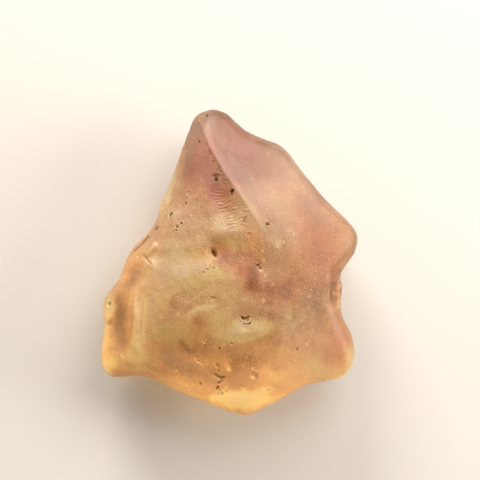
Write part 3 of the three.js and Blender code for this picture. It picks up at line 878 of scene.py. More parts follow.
# Where the glass is bright yellow (above zero) or deep brown (below zero), by area: partly its own cloudy
# colour, partly painted light and shade, such as the lit break below the crest, the painted glow below the
# middle and at the lower tip, and the shaded middle hollow.
TONES = (
    # The pointed end.
    Patch(-2.5, 12.0, 3.4, 0.8, 108, -0.6),
    Patch(-3.8, 14.4, 1.4, 0.7, 75, -0.4),
    Patch(1.0, 12.6, 7.5, 5.4, 135, -1.5),
    Patch(2.4, 13.4, 1.6, 0.8, 160, 0.5),
    Patch(-3.0, 12.2, 5.0, 3.4, 80, -1.3),
    Patch(-1.0, 11.5, 2.6, 1.4, 120, -0.4),
    Patch(-2.6, 15.0, 1.4, 0.8, 110, 0.5),
    Patch(-1.2, 15.6, 2.8, 1.8, 10, -1.0),
    # The crest, and the break on its left.
    Patch(-4.0, 10.2, 3.0, 1.6, 80, -0.5),
    Patch(-1.0, 7.3, 1.9, 0.8, 8, -0.4),
    Patch(0.4, 6.4, 3.2, 2.0, 125, 0.6),
    Patch(-0.3, 4.4, 2.4, 1.2, 12, 0.8),
    Patch(-1.4, 5.0, 1.2, 0.7, 0, 0.4),
    Patch(3.1, 4.4, 2.2, 0.9, 122, 0.5),
    Patch(2.4, 4.8, 2.6, 1.4, 120, 0.8),
    Patch(1.6, 5.9, 2.8, 1.2, 122, 1.2),
    Patch(0.9, 7.5, 1.9, 0.6, 122, 0.8),
    Patch(1.5, 6.2, 2.6, 0.9, 122, 0.8),
    # The face right of the crest.
    Patch(0.2, 10.8, 5.5, 2.4, 120, -0.7),
    Patch(5.0, 10.6, 4.6, 2.6, 130, -0.3),
    Patch(4.4, 10.4, 5.0, 3.0, 130, -0.6),
    Patch(5.6, 6.2, 4.8, 3.0, 122, 0.5),
    Patch(9.0, 6.0, 4.0, 3.0, 120, -0.8),
    # The upper left flank.
    Patch(-6.6, 8.0, 5.5, 1.2, 70, 0.9),
    Patch(-6.9, 6.7, 1.6, 0.9, 60, 0.7),
    Patch(-6.6, 5.0, 2.8, 1.3, 70, 0.5),
    # The middle.
    Patch(5.1, 2.0, 0.9, 0.6, 120, 0.9),
    Patch(-1.2, 1.0, 2.6, 1.6, 150, -0.2),
    Patch(-0.7, 0.1, 1.9, 0.9, 155, -0.45),
    Patch(-0.4, 2.5, 2.2, 1.0, 175, 0.3),
    Patch(2.7, 1.0, 2.6, 1.4, 95, -0.2),
    Patch(1.0, 1.9, 2.6, 1.2, 170, 0.6),
    Patch(3.0, 1.1, 1.6, 1.0, 95, 0.5),
    Patch(1.8, 3.4, 3.0, 1.8, 130, 1.1),
    Patch(-3.9, 2.6, 1.8, 1.2, 0, -0.3),
    Patch(2.4, -1.4, 2.4, 1.4, 95, -0.9),
    Patch(-5.2, 0.3, 2.6, 1.4, 10, 0.6),
    Patch(-3.4, -0.4, 3.0, 1.5, 170, 1.2),
    Patch(-2.4, -1.2, 3.0, 1.3, 170, 0.8),
    Patch(0.2, 0.2, 2.0, 1.2, 150, -0.4),
    Patch(-4.2, -2.3, 1.8, 0.7, 5, 0.5),
    Patch(-5.0, -2.6, 9.5, 7.5, 60, 0.85),
    Patch(-0.6, -3.2, 2.4, 1.4, 0, 0.3),
    Patch(4.6, -2.9, 4.0, 2.0, 175, -0.4),
    Patch(4.4, 3.0, 2.0, 1.4, 120, 0.5),
    Patch(0.0, 1.0, 2.0, 1.1, 170, -0.3),
    Patch(0.1, 3.0, 2.2, 1.2, 170, 0.35),
    # The left flank.
    Patch(-6.2, 1.2, 3.6, 1.8, 25, 0.4),
    Patch(-7.0, -1.0, 3.4, 1.8, 20, 0.6),
    Patch(-8.2, -0.8, 2.4, 1.6, 90, 0.8),
    Patch(-7.4, -4.0, 3.4, 1.8, 80, 0.5),
    Patch(-12.9, -5.2, 3.0, 1.0, 90, 1.3),
    Patch(-12.8, -6.4, 0.9, 0.7, 60, -0.9),
    Patch(-11.6, -6.4, 4.4, 1.4, 92, -1.2),
    Patch(-10.4, -1.6, 3.4, 1.2, 70, -0.5),
    Patch(-10.1, -1.6, 2.0, 1.4, 60, -0.65),
    Patch(-8.0, -5.0, 2.6, 1.5, 85, 0.45),
    # The right flank, with its bump and its notch.
    Patch(7.2, 1.6, 3.6, 2.2, 100, 0.4),
    Patch(6.4, -3.2, 2.0, 1.2, 100, -0.4),
    Patch(10.5, 1.8, 5.0, 4.5, 60, -0.5),
    Patch(11.0, -3.8, 4.6, 3.4, 90, -0.6),
    Patch(11.05, -2.9, 1.7, 0.45, 83, -1.8),
    Patch(8.7, -4.2, 2.6, 1.8, 90, -0.6),
    Patch(8.2, -2.6, 2.6, 1.8, 90, -0.25),
    Patch(8.0, 1.2, 2.6, 1.8, 100, -0.25),
    # Below the middle, with the painted glow.
    Patch(-5.4, -4.6, 3.3, 2.8, 20, -0.9),
    Patch(-4.4, -4.6, 1.2, 0.9, 30, -0.4),
    Patch(-2.4, -4.7, 1.3, 0.5, 5, 0.9),
    Patch(-1.6, -5.6, 2.0, 1.0, 20, 0.4),
    Patch(-3.1, -6.4, 1.8, 1.4, 20, -0.6),
    Patch(-0.8, -7.6, 2.0, 1.3, 60, 0.9),
    Patch(-5.6, -7.0, 2.6, 1.2, 170, 0.4),
    Patch(-5.0, -8.4, 1.8, 1.0, 120, -0.4),
    Patch(1.1, -6.8, 1.5, 1.1, 80, 1.3),
    Patch(2.6, -7.1, 3.4, 2.0, 10, 1.7),
    Patch(0.6, -5.8, 4.5, 2.4, 10, 0.4),
    Patch(1.2, -7.7, 3.6, 0.9, 3, 0.7),
    Patch(4.9, -7.6, 1.8, 0.9, 100, -0.3),
    Patch(-2.0, -7.0, 2.4, 1.6, 20, 0.5),
    Patch(-5.6, -7.9, 4.0, 1.4, 165, 0.7),
    Patch(5.9, -7.0, 2.0, 1.4, 90, 0.2),
    # The lower left corner.
    Patch(-7.4, -10.2, 4.6, 2.2, 160, -1.0),
    Patch(-9.6, -10.2, 3.8, 2.2, 0, 1.1),
    Patch(-13.3, -8.2, 2.6, 1.0, 90, 0.5),
    Patch(-13.1, -11.2, 2.0, 1.2, 70, 1.2),
    Patch(-11.0, -11.0, 2.4, 1.4, 20, -0.4),
    Patch(-9.6, -9.0, 2.6, 1.6, 90, 1.0),
    # The lower right corner.
    Patch(11.2, -11.4, 2.4, 1.2, 10, 0.5),
    Patch(6.2, -5.6, 3.0, 1.6, 80, 0.35),
    Patch(8.6, -8.2, 1.6, 1.2, 0, -0.4),
    Patch(10.2, -5.8, 1.4, 1.0, 90, 0.4),
    Patch(9.0, -10.8, 3.4, 2.0, 10, 0.8),
    Patch(13.0, -10.4, 2.8, 1.2, 100, 1.2),
    Patch(12.2, -12.2, 2.2, 0.8, 20, 1.0),
    Patch(12.0, -8.0, 2.8, 1.8, 90, -0.4),
    Patch(10.8, -11.6, 3.4, 1.2, 12, 0.5),
    Patch(9.2, -7.0, 1.8, 1.4, 90, -0.15),
    # The lower tip, with its painted glow.
    Patch(-2.2, -9.4, 1.6, 1.0, 20, 0.4),
    Patch(-3.2, -9.4, 2.6, 1.4, 170, -0.5),
    Patch(-3.6, -11.7, 4.0, 1.4, 160, -0.8),
    Patch(1.4, -9.8, 3.4, 1.4, 175, -0.8),
    Patch(0.6, -11.0, 2.4, 1.4, 90, -0.5),
    Patch(1.0, -11.4, 8.0, 1.8, 2, -0.7),
    Patch(1.2, -12.6, 4.6, 1.2, 2, -0.8),
    Patch(-0.2, -11.2, 0.8, 0.5, 120, 0.7),
    Patch(1.2, -14.8, 5.4, 1.9, 4, 1.5),
    Patch(0.5, -13.9, 0.8, 0.5, 0, 0.6),
    Patch(2.2, -13.9, 0.9, 0.5, 0, 0.6),
    Patch(4.0, -13.6, 1.2, 0.5, 20, 0.8),
    Patch(5.2, -11.6, 3.8, 2.2, 20, 0.5),
    Patch(3.0, -10.0, 2.8, 1.6, 0, -0.4),
    Patch(-3.0, -12.0, 2.4, 1.2, 160, 0.35),
)

# Painted rosy light: where the colour is tinted pink as if light came through the glass from a pink surface
# under it.
PAINTED_ROSY_LIGHT = (
    Patch(-1.4, 8.8, 6.0, 3.0, 112, 0.7),
    Patch(-2.7, 11.3, 5.2, 2.4, 98, 0.6),
    Patch(0.6, 12.4, 6.0, 4.6, 120, 0.45),
    Patch(6.0, 7.6, 9.5, 6.0, 128, 0.3),
    Patch(1.0, -12.3, 8.0, 1.8, 3, 0.25),
    Patch(8.6, -11.0, 5.5, 2.4, 10, 0.2),
    Patch(-8.0, -0.6, 5.0, 3.2, 50, 0.3),
    Patch(-6.4, 4.6, 5.0, 2.8, 60, 0.3),
    Patch(-4.4, 8.6, 3.4, 1.8, 80, 0.4),
    Patch(1.4, 6.4, 3.6, 1.3, 122, 0.2),
    Patch(-8.6, -5.4, 5.0, 2.2, 90, 0.3),
    Patch(1.2, 2.8, 3.0, 1.4, 150, 0.3),
    Patch(10.2, -8.0, 3.0, 2.4, 90, 0.2),
    Patch(6.0, -13.0, 4.0, 1.2, 20, 0.15),
    Patch(6.6, -7.6, 4.0, 3.4, 90, 0.2),
    Patch(11.0, -10.4, 2.8, 2.2, 90, 0.3),
    Patch(-1.4, 7.6, 2.2, 1.4, 0, 0.3),
    Patch(0.9, 7.2, 3.0, 1.4, 122, 0.15),
    Patch(-4.0, -9.6, 4.4, 1.8, 170, 0.2),
)

# Painted glow: where the colour is brightened as if light gathered in the glass.
PAINTED_GLOWS = (
    Patch(2.3, -7.1, 3.2, 1.5, 8, 0.5),
    Patch(1.1, -6.9, 0.6, 0.5, 8, 0.4),
    Patch(-5.4, -0.6, 4.2, 1.7, 15, 0.45),
    Patch(-8.9, -4.0, 2.8, 0.8, 84, 0.4),
    Patch(1.2, 6.8, 2.4, 0.9, 122, 0.4),
    Patch(-11.4, -10.6, 2.6, 1.4, 20, 0.4),
    Patch(0.8, -14.3, 3.4, 0.8, 4, 0.8),
    Patch(4.8, -12.3, 2.8, 0.9, 12, 0.4),
    Patch(-3.0, -0.5, 2.0, 1.0, 170, 0.5),
)

# Where sand has scuffed the skin white, in short level strokes.
SCUFFED = (
    Patch(-6.0, -0.6, 6.0, 3.8, 20, 0.8),
    Patch(-2.6, -4.4, 4.0, 2.4, 10, 0.5),
    Patch(-1.8, -9.6, 4.6, 2.6, 175, 0.6),
    Patch(6.8, -7.0, 4.2, 3.6, 90, 0.7),
    Patch(0.2, 4.2, 3.4, 2.0, 5, 0.5),
    Patch(-7.0, 4.6, 4.0, 2.2, 60, 0.5),
    Patch(6.0, 6.0, 6.0, 4.0, 120, 0.4),
    Patch(0.8, -13.4, 4.0, 0.9, 2, 0.9),
    Patch(9.6, -11.4, 4.0, 1.6, 10, 0.5),
)

# Where the glass has an amber cast. Round the middle hollow the cast also darkens the colour as painted
# shade over a lamp's highlight.
AMBER_AND_PAINTED_SHADE = (
    Patch(2.4, 4.2, 4.5, 2.6, 120, 0.35),
    Patch(0.9, -0.7, 2.8, 1.6, 150, 0.6),
    Patch(-3.6, -7.2, 4.0, 2.4, 170, 0.35),
    Patch(3.4, -7.4, 3.0, 2.0, 0, 0.15),
    Patch(-1.0, 5.6, 2.6, 2.4, 20, 0.3),
    Patch(6.5, 6.0, 5.0, 4.0, 120, 0.35),
    Patch(-2.5, 0.6, 4.0, 2.4, 20, 0.4),
    Patch(-7.0, -3.0, 4.5, 3.2, 60, 0.25),
    Patch(-1.0, 6.8, 3.2, 2.2, 20, 0.35),
    Patch(-4.2, 9.4, 3.4, 1.6, 80, 0.35),
    Patch(12.4, -10.6, 2.4, 1.6, 90, 0.25),
    Patch(9.8, 1.4, 6.5, 5.5, 90, 1.1),
    Patch(11.2, -3.0, 4.0, 2.6, 90, 0.6),
    Patch(2.6, 0.4, 3.6, 1.9, 100, 0.5),
    Patch(2.3, -1.4, 2.2, 1.3, 95, 0.8),
    Patch(5.2, -3.0, 4.5, 2.2, 175, 0.6),
    Patch(0.2, 1.4, 3.6, 2.4, 150, 0.3),
    Patch(11.5, -7.0, 6.0, 2.4, 90, 0.4),
    Patch(9.5, -9.2, 5.0, 4.0, 20, 0.2),
    Patch(-3.2, 12.0, 4.0, 1.6, 95, 0.3),
    Patch(0.4, 6.4, 2.6, 1.6, 125, 0.2),
    Patch(2.1, 3.0, 2.6, 1.5, 120, 0.5),
    Patch(11.4, -10.4, 2.8, 2.2, 90, 0.45),
    Patch(-10.2, -10.4, 3.0, 1.8, 20, 0.25),
    Patch(-7.8, -8.4, 2.8, 1.8, 20, 0.2),
    Patch(-3.0, -2.8, 4.4, 2.2, 10, 0.15),
    Patch(3.6, 10.2, 3.6, 2.6, 130, 0.3),
    Patch(0.8, 13.2, 4.2, 3.0, 130, 0.35),
    Patch(-2.0, 7.5, 2.6, 1.6, 10, 0.5),
    Patch(12.3, -8.0, 2.6, 2.0, 90, 0.55),
    Patch(8.6, 5.0, 4.0, 2.6, 130, 0.12),
)

# Where the glass is veined lengthwise, as the melt flowed.
VEINED = (
    Patch(6.6, -6.4, 4.6, 4.0, 90, 0.3),
    Patch(-2.9, 10.6, 4.0, 1.4, 95, 0.5),
    Patch(-9.6, -6.0, 4.5, 2.4, 90, 0.3),
    Patch(1.5, -0.4, 3.0, 2.0, 90, 0.3),
)

# Tiny white bruise marks where grains of sand struck, which also serve as painted glints of light.
BRUISES_AND_GLINTS = (
    (3.3, -0.8), (3.45, -0.84), (3.85, -1.35), (1.52, -3.82), (1.7, -3.84), (3.66, -3.9), (3.68, -4.05),
    (8.5, -3.55), (11.95, -2.5), (11.85, -2.7), (4.15, 11.7), (-0.1, -11.2), (0.0, -11.35), (2.6, -12.2),
    (3.5, 1.25), (3.65, 0.3), (0.2, 6.2), (4.6, -2.2), (6.4, 3.4), (-0.6, -13.5), (-0.3, -13.3),
    (0.1, -13.6), (0.4, -13.75), (1.6, -13.7), (2.5, -11.2), (2.6, -12.05), (11.4, -3.3), (11.7, -4.2),
    (11.75, -4.7), (-5.4, -5.4), (5.3, 2.1), (7.9, -6.9), (7.6, -6.2), (5.8, 2.2), (-7.6, -0.6),
    (-7.6, -1.4), (6.9, 3.1), (2.4, 8.9), (-2.4, -1.0), (8.2, -8.6),
)


# How uneven things are: the borders of pits and of patches along x and y, and the skin itself.
PIT_BORDERS = (Waviness(0.4, 0.08, 11.0), Waviness(0.4, 0.08, 17.0))
PATCH_BORDERS = (Waviness(0.9, 0.35, 21.0), Waviness(0.9, 0.35, 27.0))
SKIN = (Waviness(1.4, 0.05), Waviness(0.5, 0.02, 3.0))

# The veins, long in y, and how strong they are all over besides the veined places.
VEINS = Waviness((0.32, 1.5, 0.7), shift=9.0)
VEINS_ALL_OVER = 0.1

# The scuffs' level strokes, and from which value of their noise they show.
STROKES = Waviness((0.6, 0.3, 0.5), shift=13.0)
STROKES_SEEN = (0.12, 0.5)

# By the height of a normal: the upper side that is carved, its edge with the painted shade lines, the part
# whose marks show from above, and the under side.
CARVED = (0.1, 0.4)
SHADED_EDGE = (0.05, 0.2)
SHOWN = (-0.35, 0.05)
HIDDEN = (-0.1, -0.5)


@dataclass(frozen=True)
class Ripples:
    """The fine scaly ripples of the break: their rise to the right in degrees, spacing and height."""

    tilt: float = 18.0
    spacing: float = 0.36
    height: float = 0.15
    # How they bend, in spacings, and how patchy they are, with the noise's values between which they show.
    bends: tuple[Waviness, Waviness] = (Waviness(1.5, 1.3, 1.0), Waviness(0.5, 0.6, 2.0))
    patchiness: Waviness = Waviness((1.1, 0.6, 1.1), shift=5.0)
    patchy: Span = (-0.55, 0.1)
    # Along y: where their steep sides turn round, where they get weaker towards the pointed end and to which
    # share, and where they start at the lower end.
    turning: Span = (4.6, 5.6)
    weakening: Span = (9.0, 6.0)
    weakest: float = 0.5
    low_start: Span = (2.4, 3.4)
    # The break's width where it is narrowest, how much wider it gets for each millimetre below narrow_y, and
    # over how many of them at most.
    narrowest: float = 1.7
    widening: float = 0.22
    narrow_y: float = 12.0
    widened: float = 10.0
    # Where they fade out: on the outer side in shares of the break's width, by the crest in millimetres, and
    # along it in shares of its length.
    outer: Span = (-1.0, -0.7)
    inner: Span = (0.0, -0.25)
    start: Span = (0.12, 0.3)
    end: Span = (0.84, 0.7)

    def measure(self, points: np.ndarray) -> tuple[np.ndarray, np.ndarray]:
        """Gives each point's place in the ripples.

        Args:
            points: Rows of x, y and z.

        Returns:
            Their height there from -0.5 to 0.5, and how strong they are, from 0 to 1.
        """
        side, share = CREST.measure(points)
        y = points[:, 1]
        tilt = math.radians(self.tilt)
        across = y * math.cos(tilt) - points[:, 0] * math.sin(tilt)
        phase = across / self.spacing
        for bend in self.bends:
            phase = phase + bend.at(points)
        step = phase - np.floor(phase)
        turned = smooth_step(y, *self.turning)
        scale = turned * (1 - step) + (1 - turned) * step
        full = self.weakest + (1 - self.weakest) * smooth_step(y, *self.weakening)
        strength = smooth_step(self.patchiness.at(points), *self.patchy) * full
        width = self.narrowest + self.widening * np.clip(self.narrow_y - y, 0, self.widened)
        strength = strength * (smooth_step(side / width, *self.outer) * smooth_step(side, *self.inner))
        length = smooth_step(share, *self.start) * smooth_step(share, *self.end)
        return scale - 0.5, strength * (length * smooth_step(y, *self.low_start))


@dataclass(frozen=True)
class CrestLooks:
    """How the glass looks along the crest, with painted highlight and shade.

    Distances from it are in millimetres, above zero on the smooth face on its right and below zero on the
    break on its left. Places along it are shares of its length from the pointed end.
    """

    # The shares over which its looks fade in and out, and the sharp change from one side to the other.
    fades: Span = (0.06, 0.25)
    onto_face: Span = (-0.05, 0.05)
    onto_break: Span = (0.05, -0.05)
    # The painted shade on the break's wall and the darker painted shade at its foot, and the frosted face,
    # whose pale veil is partly a painted sheen.
    wall: Span = (-3.6, -0.8)
    wall_shade_tone: float = -0.05
    foot_width: float = 0.5
    foot_shade_tone: float = -0.15
    face: Span = (3.5, 0.5)
    face_frost: float = 0.4
    # The thin painted highlight along the crest on the face's side, and where it ends.
    band_width: float = 0.35
    band_end: Span = (0.75, 0.5)
    highlight_band_tone: float = 0.2
    # Dark flecks and a dark line of painted shade on the break, close by the crest.
    dark: Span = (-1.7, -0.3)
    dark_edge: Span = (0.02, -0.08)
    dark_start: Span = (0.16, 0.28)
    dark_end: Span = (0.6, 0.5)
    fleck_pattern: Waviness = Waviness((0.5, 0.26, 0.5), shift=31.0)
    flecks_seen: Span = (0.05, 0.4)
    flecks: float = 0.3
    line_middle: float = -0.18
    line_width: float = 0.16
    line: float = 0.2

    def measure(self, points: np.ndarray) -> tuple[np.ndarray, np.ndarray, np.ndarray]:
        """Gives how each point is marked by the crest.

        Args:
            points: Rows of x, y and z.

        Returns:
            What is added to the tone, what is added to the frost, and the least dark lining.
        """
        side, share = CREST.measure(points)
        run = fade_ends(share, *self.fades)
        on_face = smooth_step(side, *self.onto_face) * run
        on_break = smooth_step(side, *self.onto_break) * run
        band = on_face * soft_peak(side, 0, self.band_width) * smooth_step(share, *self.band_end)
        wall = on_break * smooth_step(side, *self.wall)
        foot = on_break * soft_peak(side, 0, self.foot_width)
        tone = self.highlight_band_tone * band + self.wall_shade_tone * wall + self.foot_shade_tone * foot
        frost = self.face_frost * on_face * smooth_step(side, *self.face)
        dark = smooth_step(side, *self.dark) * smooth_step(side, *self.dark_edge)
        dark = dark * smooth_step(share, *self.dark_start) * smooth_step(share, *self.dark_end)
        flecks = smooth_step(self.fleck_pattern.at(points), *self.flecks_seen)
        line = soft_peak(side, self.line_middle, self.line_width)
        return tone, frost, dark * (self.flecks * flecks + self.line * line)


@dataclass(frozen=True)
class Pocks:
    """Small etched pits all over the sides and the underside: how many, and their least and greatest size."""

    count: int = 110
    smallest: float = 0.12
    largest: float = 0.34
    seed: int = 7
    # They lie where a normal's height is below this.
    highest_normal: float = 0.3
    # The depth and the half widths of the floor and the dark lining, in sizes, and how dark that is.
    depth: float = 0.9
    floor: float = 0.8
    lining: float = 0.7
    lined: float = 0.8

    def etch(self, points: np.ndarray, normals: np.ndarray, lift: np.ndarray, lining: np.ndarray) -> None:
        """Etches them into the lift and the lining given.

        Args:
            points: Rows of x, y and z.
            normals: The normals there.
            lift: Heights in millimetres, changed here.
            lining: Shares of dark lining, changed here.
        """
        chance = random.Random(self.seed)
        places = np.flatnonzero(normals[:, 2] < self.highest_normal)
        for _ in range(self.count):
            middle = points[places[chance.randrange(len(places))]]
            size = chance.uniform(self.smallest, self.largest)
            reach = np.linalg.norm(points - middle, axis=1) / size
            lift -= self.depth * size * soft_plateau(reach, self.floor)
            np.maximum(lining, self.lined * soft_plateau(reach, self.lining), out=lining)


@dataclass(frozen=True)
class Fineness:
    """How near to a form the mesh is made finer, and on which faces.

    Pits are measured by their reach, so that 1 is the border, and lines in millimetres.
    """

    pit: float = 1.8
    chip: float = 1.3
    cut: float = 0.26
    crease: float = 0.4
    # The crest's break and its foot on the face's side, and up to which share of its length.
    crest: Span = (-2.9, 0.5)
    crest_share: float = 0.98
    # Only where a normal's height is above this.
    lowest_normal: float = 0.1

    def by_small_forms(self, points: np.ndarray) -> np.ndarray:
        """Tells which points lie by a pit or a cut.

        Args:
            points: Rows of x, y and z.

        Returns:
            True for each that does.
        """
        near = np.zeros(len(points), dtype=bool)
        for pit in PITS:
            if pit.form is not PitForm.CHIP:
                near |= pit.reach(points) < self.pit
        for cut in CUTS:
            away, _ = cut.line.measure(points)
            near |= np.abs(away) < self.cut
        return near

    def by_creases(self, points: np.ndarray) -> np.ndarray:
        """Tells which points lie by a crease, the crest and its ripples among them, or in a chip.

        Args:
            points: Rows of x, y and z.

        Returns:
            True for each that does.
        """
        side, share = CREST.measure(points)
        low, high = self.crest
        near = (side > low) & (side < high) & (share < self.crest_share)
        for crease in CREASES:
            away, _ = crease.line.measure(points)
            near |= np.abs(away) < self.crease
        for pit in PITS:
            if pit.form is PitForm.CHIP:
                near |= pit.reach(points) < self.chip
        return near


def total_share(places: tuple[Patch | Streak, ...], points: np.ndarray) -> np.ndarray:
    """Adds the weights of patches or streaks up at each point."""
    return sum(place.share(points) for place in places)


@dataclass
class GlassLump:
    """The lump: the solid made fine, then carved in code as wind and weather carved the real one.

    Corners of the solid nearer than merge_mm are merged. The mesh is made even, with edges of voxel_mm, and
    smoothed in rounds. The underside needs less of it, and keeps the thinning share of its faces where a
    normal's height is below thinned_normal.
    """

    merge_mm: float = 0.01
    rounding_levels: int = 2
    voxel_mm: float = 0.158
    smoothing: float = 0.5
    smoothing_rounds: int = 10
    thinning: float = 0.15
    thinned_normal: float = -0.1
    fineness: Fineness = Fineness()
    ripples: Ripples = Ripples()
    crest_looks: CrestLooks = CrestLooks()
    pocks: Pocks = Pocks()
    # The frost where no patch changes it, the highest tone of patches, streaks and veins together, and the
    # half width of a bruise mark, which also serves as a painted glint, in millimetres.
    plain_frost: float = 0.35
    brightest: float = 1.15
    bruise_and_glint_mm: float = 0.13
    # How much scuffs, bruise marks with their painted glints and the painted glow brighten the tone, and the
    # under side's tone, plain and raised further by the painted glow.
    scuff_tone: float = 0.8
    bruise_and_glint_tone: float = 1.6
    under_tone: float = 0.8
    under_painted_glow: float = 1.5
    piece: bpy.types.Object | None = None

    def build(self) -> bpy.types.Object:
        """Builds the lump's mesh.

        Returns:
            The finished piece.
        """
        self.copy_solid()
        self.make_fine()
        self.refine()
        self.carve()
        self.thin_underside()
        self.to_metres()
        return self.piece

    def copy_solid(self) -> None:
        """Copies the solid, merges its loose triangles and scales it to millimetres."""
        select_only(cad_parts[SOLID])
        bpy.ops.object.duplicate()
        self.piece = bpy.context.view_layer.objects.active
        self.piece.name = "glass_lump"
        self.piece.data.name = "glass_lump"
        select_only(self.piece)
        bpy.ops.object.mode_set(mode="EDIT")
        bpy.ops.mesh.select_all(action="SELECT")
        bpy.ops.mesh.remove_doubles(threshold=self.merge_mm * MILLIMETRE)
        bpy.ops.transform.resize(value=(PER_METRE,) * 3, center_override=(0, 0, 0))
        bpy.ops.object.mode_set(mode="OBJECT")

    def make_fine(self) -> None:
        """Rounds the facets off and gives the surface an even, fine mesh."""
        levels = self.rounding_levels
        apply_modifier(self.piece, "SUBSURF", levels=levels, render_levels=levels)
        apply_modifier(self.piece, "REMESH", mode="VOXEL", voxel_size=self.voxel_mm)
        apply_modifier(self.piece, "SMOOTH", factor=self.smoothing, iterations=self.smoothing_rounds)

    def select_faces(self, chosen: np.ndarray) -> None:
        """Selects some of the mesh's faces and enters edit mode.

        Args:
            chosen: True for each face to select.
        """
        select_only(self.piece)
        bpy.ops.object.mode_set(mode="EDIT")
        bpy.ops.mesh.select_all(action="DESELECT")
        bpy.ops.mesh.select_mode(type="FACE")
        bpy.ops.object.mode_set(mode="OBJECT")
        self.piece.data.polygons.foreach_set("select", chosen)
        bpy.ops.object.mode_set(mode="EDIT")

    def refine(self) -> None:
        """Divides the faces by the upper side's fine forms: twice by the smallest, once by the others."""
        for only_smallest in (False, True):
            faces = self.piece.data.polygons
            middles = read_rows(faces, "center")
            chosen = self.fineness.by_small_forms(middles)
            if not only_smallest:
                chosen |= self.fineness.by_creases(middles)
            self.select_faces(chosen & (read_rows(faces, "normal")[:, 2] > self.fineness.lowest_normal))
            bpy.ops.mesh.subdivide(number_cuts=1)
            bpy.ops.object.mode_set(mode="OBJECT")

    def carve(self) -> None:
        """Raises and lowers the surface by its creases, ripples, pits and cuts, and marks how it looks."""
        mesh = self.piece.data
        points = read_rows(mesh.vertices, "co")
        normals = read_rows(mesh.vertices, "normal")
        rough = stray(points, PIT_BORDERS)
        ripples = self.ripples.measure(points)
        lift = self.relief(points, rough, ripples) * smooth_step(normals[:, 2], *CARVED)
        for waviness in SKIN:
            lift += waviness.at(points)
        lining = self.lining(points, rough, normals)
        self.pocks.etch(points, normals, lift, lining)
        marks = self.marks(points, rough, normals, ripples, lining)
        points += normals * lift[:, None]
        mesh.vertices.foreach_set("co", points.ravel())
        for mark, values in marks.items():
            mesh.attributes.new(mark.value, "FLOAT", "POINT").data.foreach_set("value", values)
        mesh.update()

    def relief(
        self, points: np.ndarray, rough: np.ndarray, ripples: tuple[np.ndarray, np.ndarray]
    ) -> np.ndarray:
        """Gives the height of the upper side's fine forms.

        Args:
            points: Rows of x, y and z.
            rough: The same rows, moved for the uneven borders of pits.
            ripples: The ripples' height and strength there.

        Returns:
            Heights in millimetres, below zero in pits and cuts.
        """
        scales, strength = ripples
        above = sum(crease.lift(points) for crease in CREASES) + self.ripples.height * scales * strength
        above += total_share(SWELLS, points)
        for pit in PITS:
            above += pit.lift(rough)
        for cut in CUTS:
            above += cut.lift(points)
        return above

    def lining(self, points: np.ndarray, rough: np.ndarray, normals: np.ndarray) -> np.ndarray:
        """Gives how dark the pits and the cuts are, with dust and painted shade, and the painted shade lines
        along the upper left edge.

        Args:
            points: Rows of x, y and z.
            rough: The same rows, moved for the uneven borders of pits.
            normals: The normals there.

        Returns:
            The share of dark lining at each point.
        """
        upper = smooth_step(normals[:, 2], *CARVED)
        shaded_edge = smooth_step(normals[:, 2], *SHADED_EDGE)
        dark = [pit.lining(rough) * upper for pit in PITS]
        dark += [cut.lining(points) * upper for cut in CUTS]
        # The painted shade lines along the upper left edge, drawn with the cuts' dark lining.
        dark += [chip.lining(rough) * shaded_edge for chip in EDGE_SHADE_LINES]
        return np.maximum.reduce(dark)

    def marks(
        self,
        points: np.ndarray,
        rough: np.ndarray,
        normals: np.ndarray,
        ripples: tuple[np.ndarray, np.ndarray],
        lining: np.ndarray,
    ) -> dict[Mark, np.ndarray]:
        """Gives how the skin and the glass vary.

        Args:
            points: Rows of x, y and z.
            rough: The same rows, moved for the uneven borders of pits.
            normals: The normals there.
            ripples: The ripples' height and strength there.
            lining: The share of dark lining there.

        Returns:
            One value for each mark and point.
        """
        shown = smooth_step(normals[:, 2], *SHOWN)
        ragged = stray(points, PATCH_BORDERS)
        scales, strength = ripples
        crest_light_and_shade, crest_frost, crest_painted_shade = self.crest_looks.measure(points)
        painted_glows = total_share(PAINTED_GLOWS, ragged)
        veins = VEINS.at(points) * (VEINS_ALL_OVER + total_share(VEINED, ragged))
        # Tone patches and streaks, both partly painted light and shade, and the glass's own veins.
        tone = total_share(TONES, ragged) + total_share(PAINTED_LIGHT_AND_SHADE_STREAKS, rough) + veins
        # The crest's painted highlight and shade, the ripples painted lighter and darker by their height as
        # light and shade, and the painted glow.
        tone = np.minimum(tone, self.brightest) + crest_light_and_shade + scales * strength + painted_glows
        scuffs = smooth_step(STROKES.at(points), *STROKES_SEEN) * total_share(SCUFFED, ragged)
        tone += self.scuff_tone * scuffs
        # Bruise marks with their painted glints, and the painted highlights on the lit lips of pits and cuts.
        tone += self.bruise_and_glint_tone * self.bruises_and_glints(points) + self.lips(points, rough)
        under = (self.under_tone + self.under_painted_glow * painted_glows) * smooth_step(normals[:, 2], *HIDDEN)
        return {
            Mark.LINING: np.maximum(lining, crest_painted_shade),
            Mark.FROST: self.plain_frost + (total_share(FROST, ragged) + crest_frost) * shown,
            Mark.TONE: tone * shown + under,
            Mark.PAINTED_ROSY_LIGHT: np.clip(total_share(PAINTED_ROSY_LIGHT, ragged), 0, 1) * shown,
            Mark.AMBER_AND_PAINTED_SHADE: np.clip(total_share(AMBER_AND_PAINTED_SHADE, ragged), 0, 1) * shown,
        }

    def lips(self, points: np.ndarray, rough: np.ndarray) -> np.ndarray:
        """Gives the painted highlights on the lit lips at each point, and at the rough ones for the pits."""
        return np.maximum.reduce([pit.lip(rough) for pit in PITS] + [cut.lip(points) for cut in CUTS])

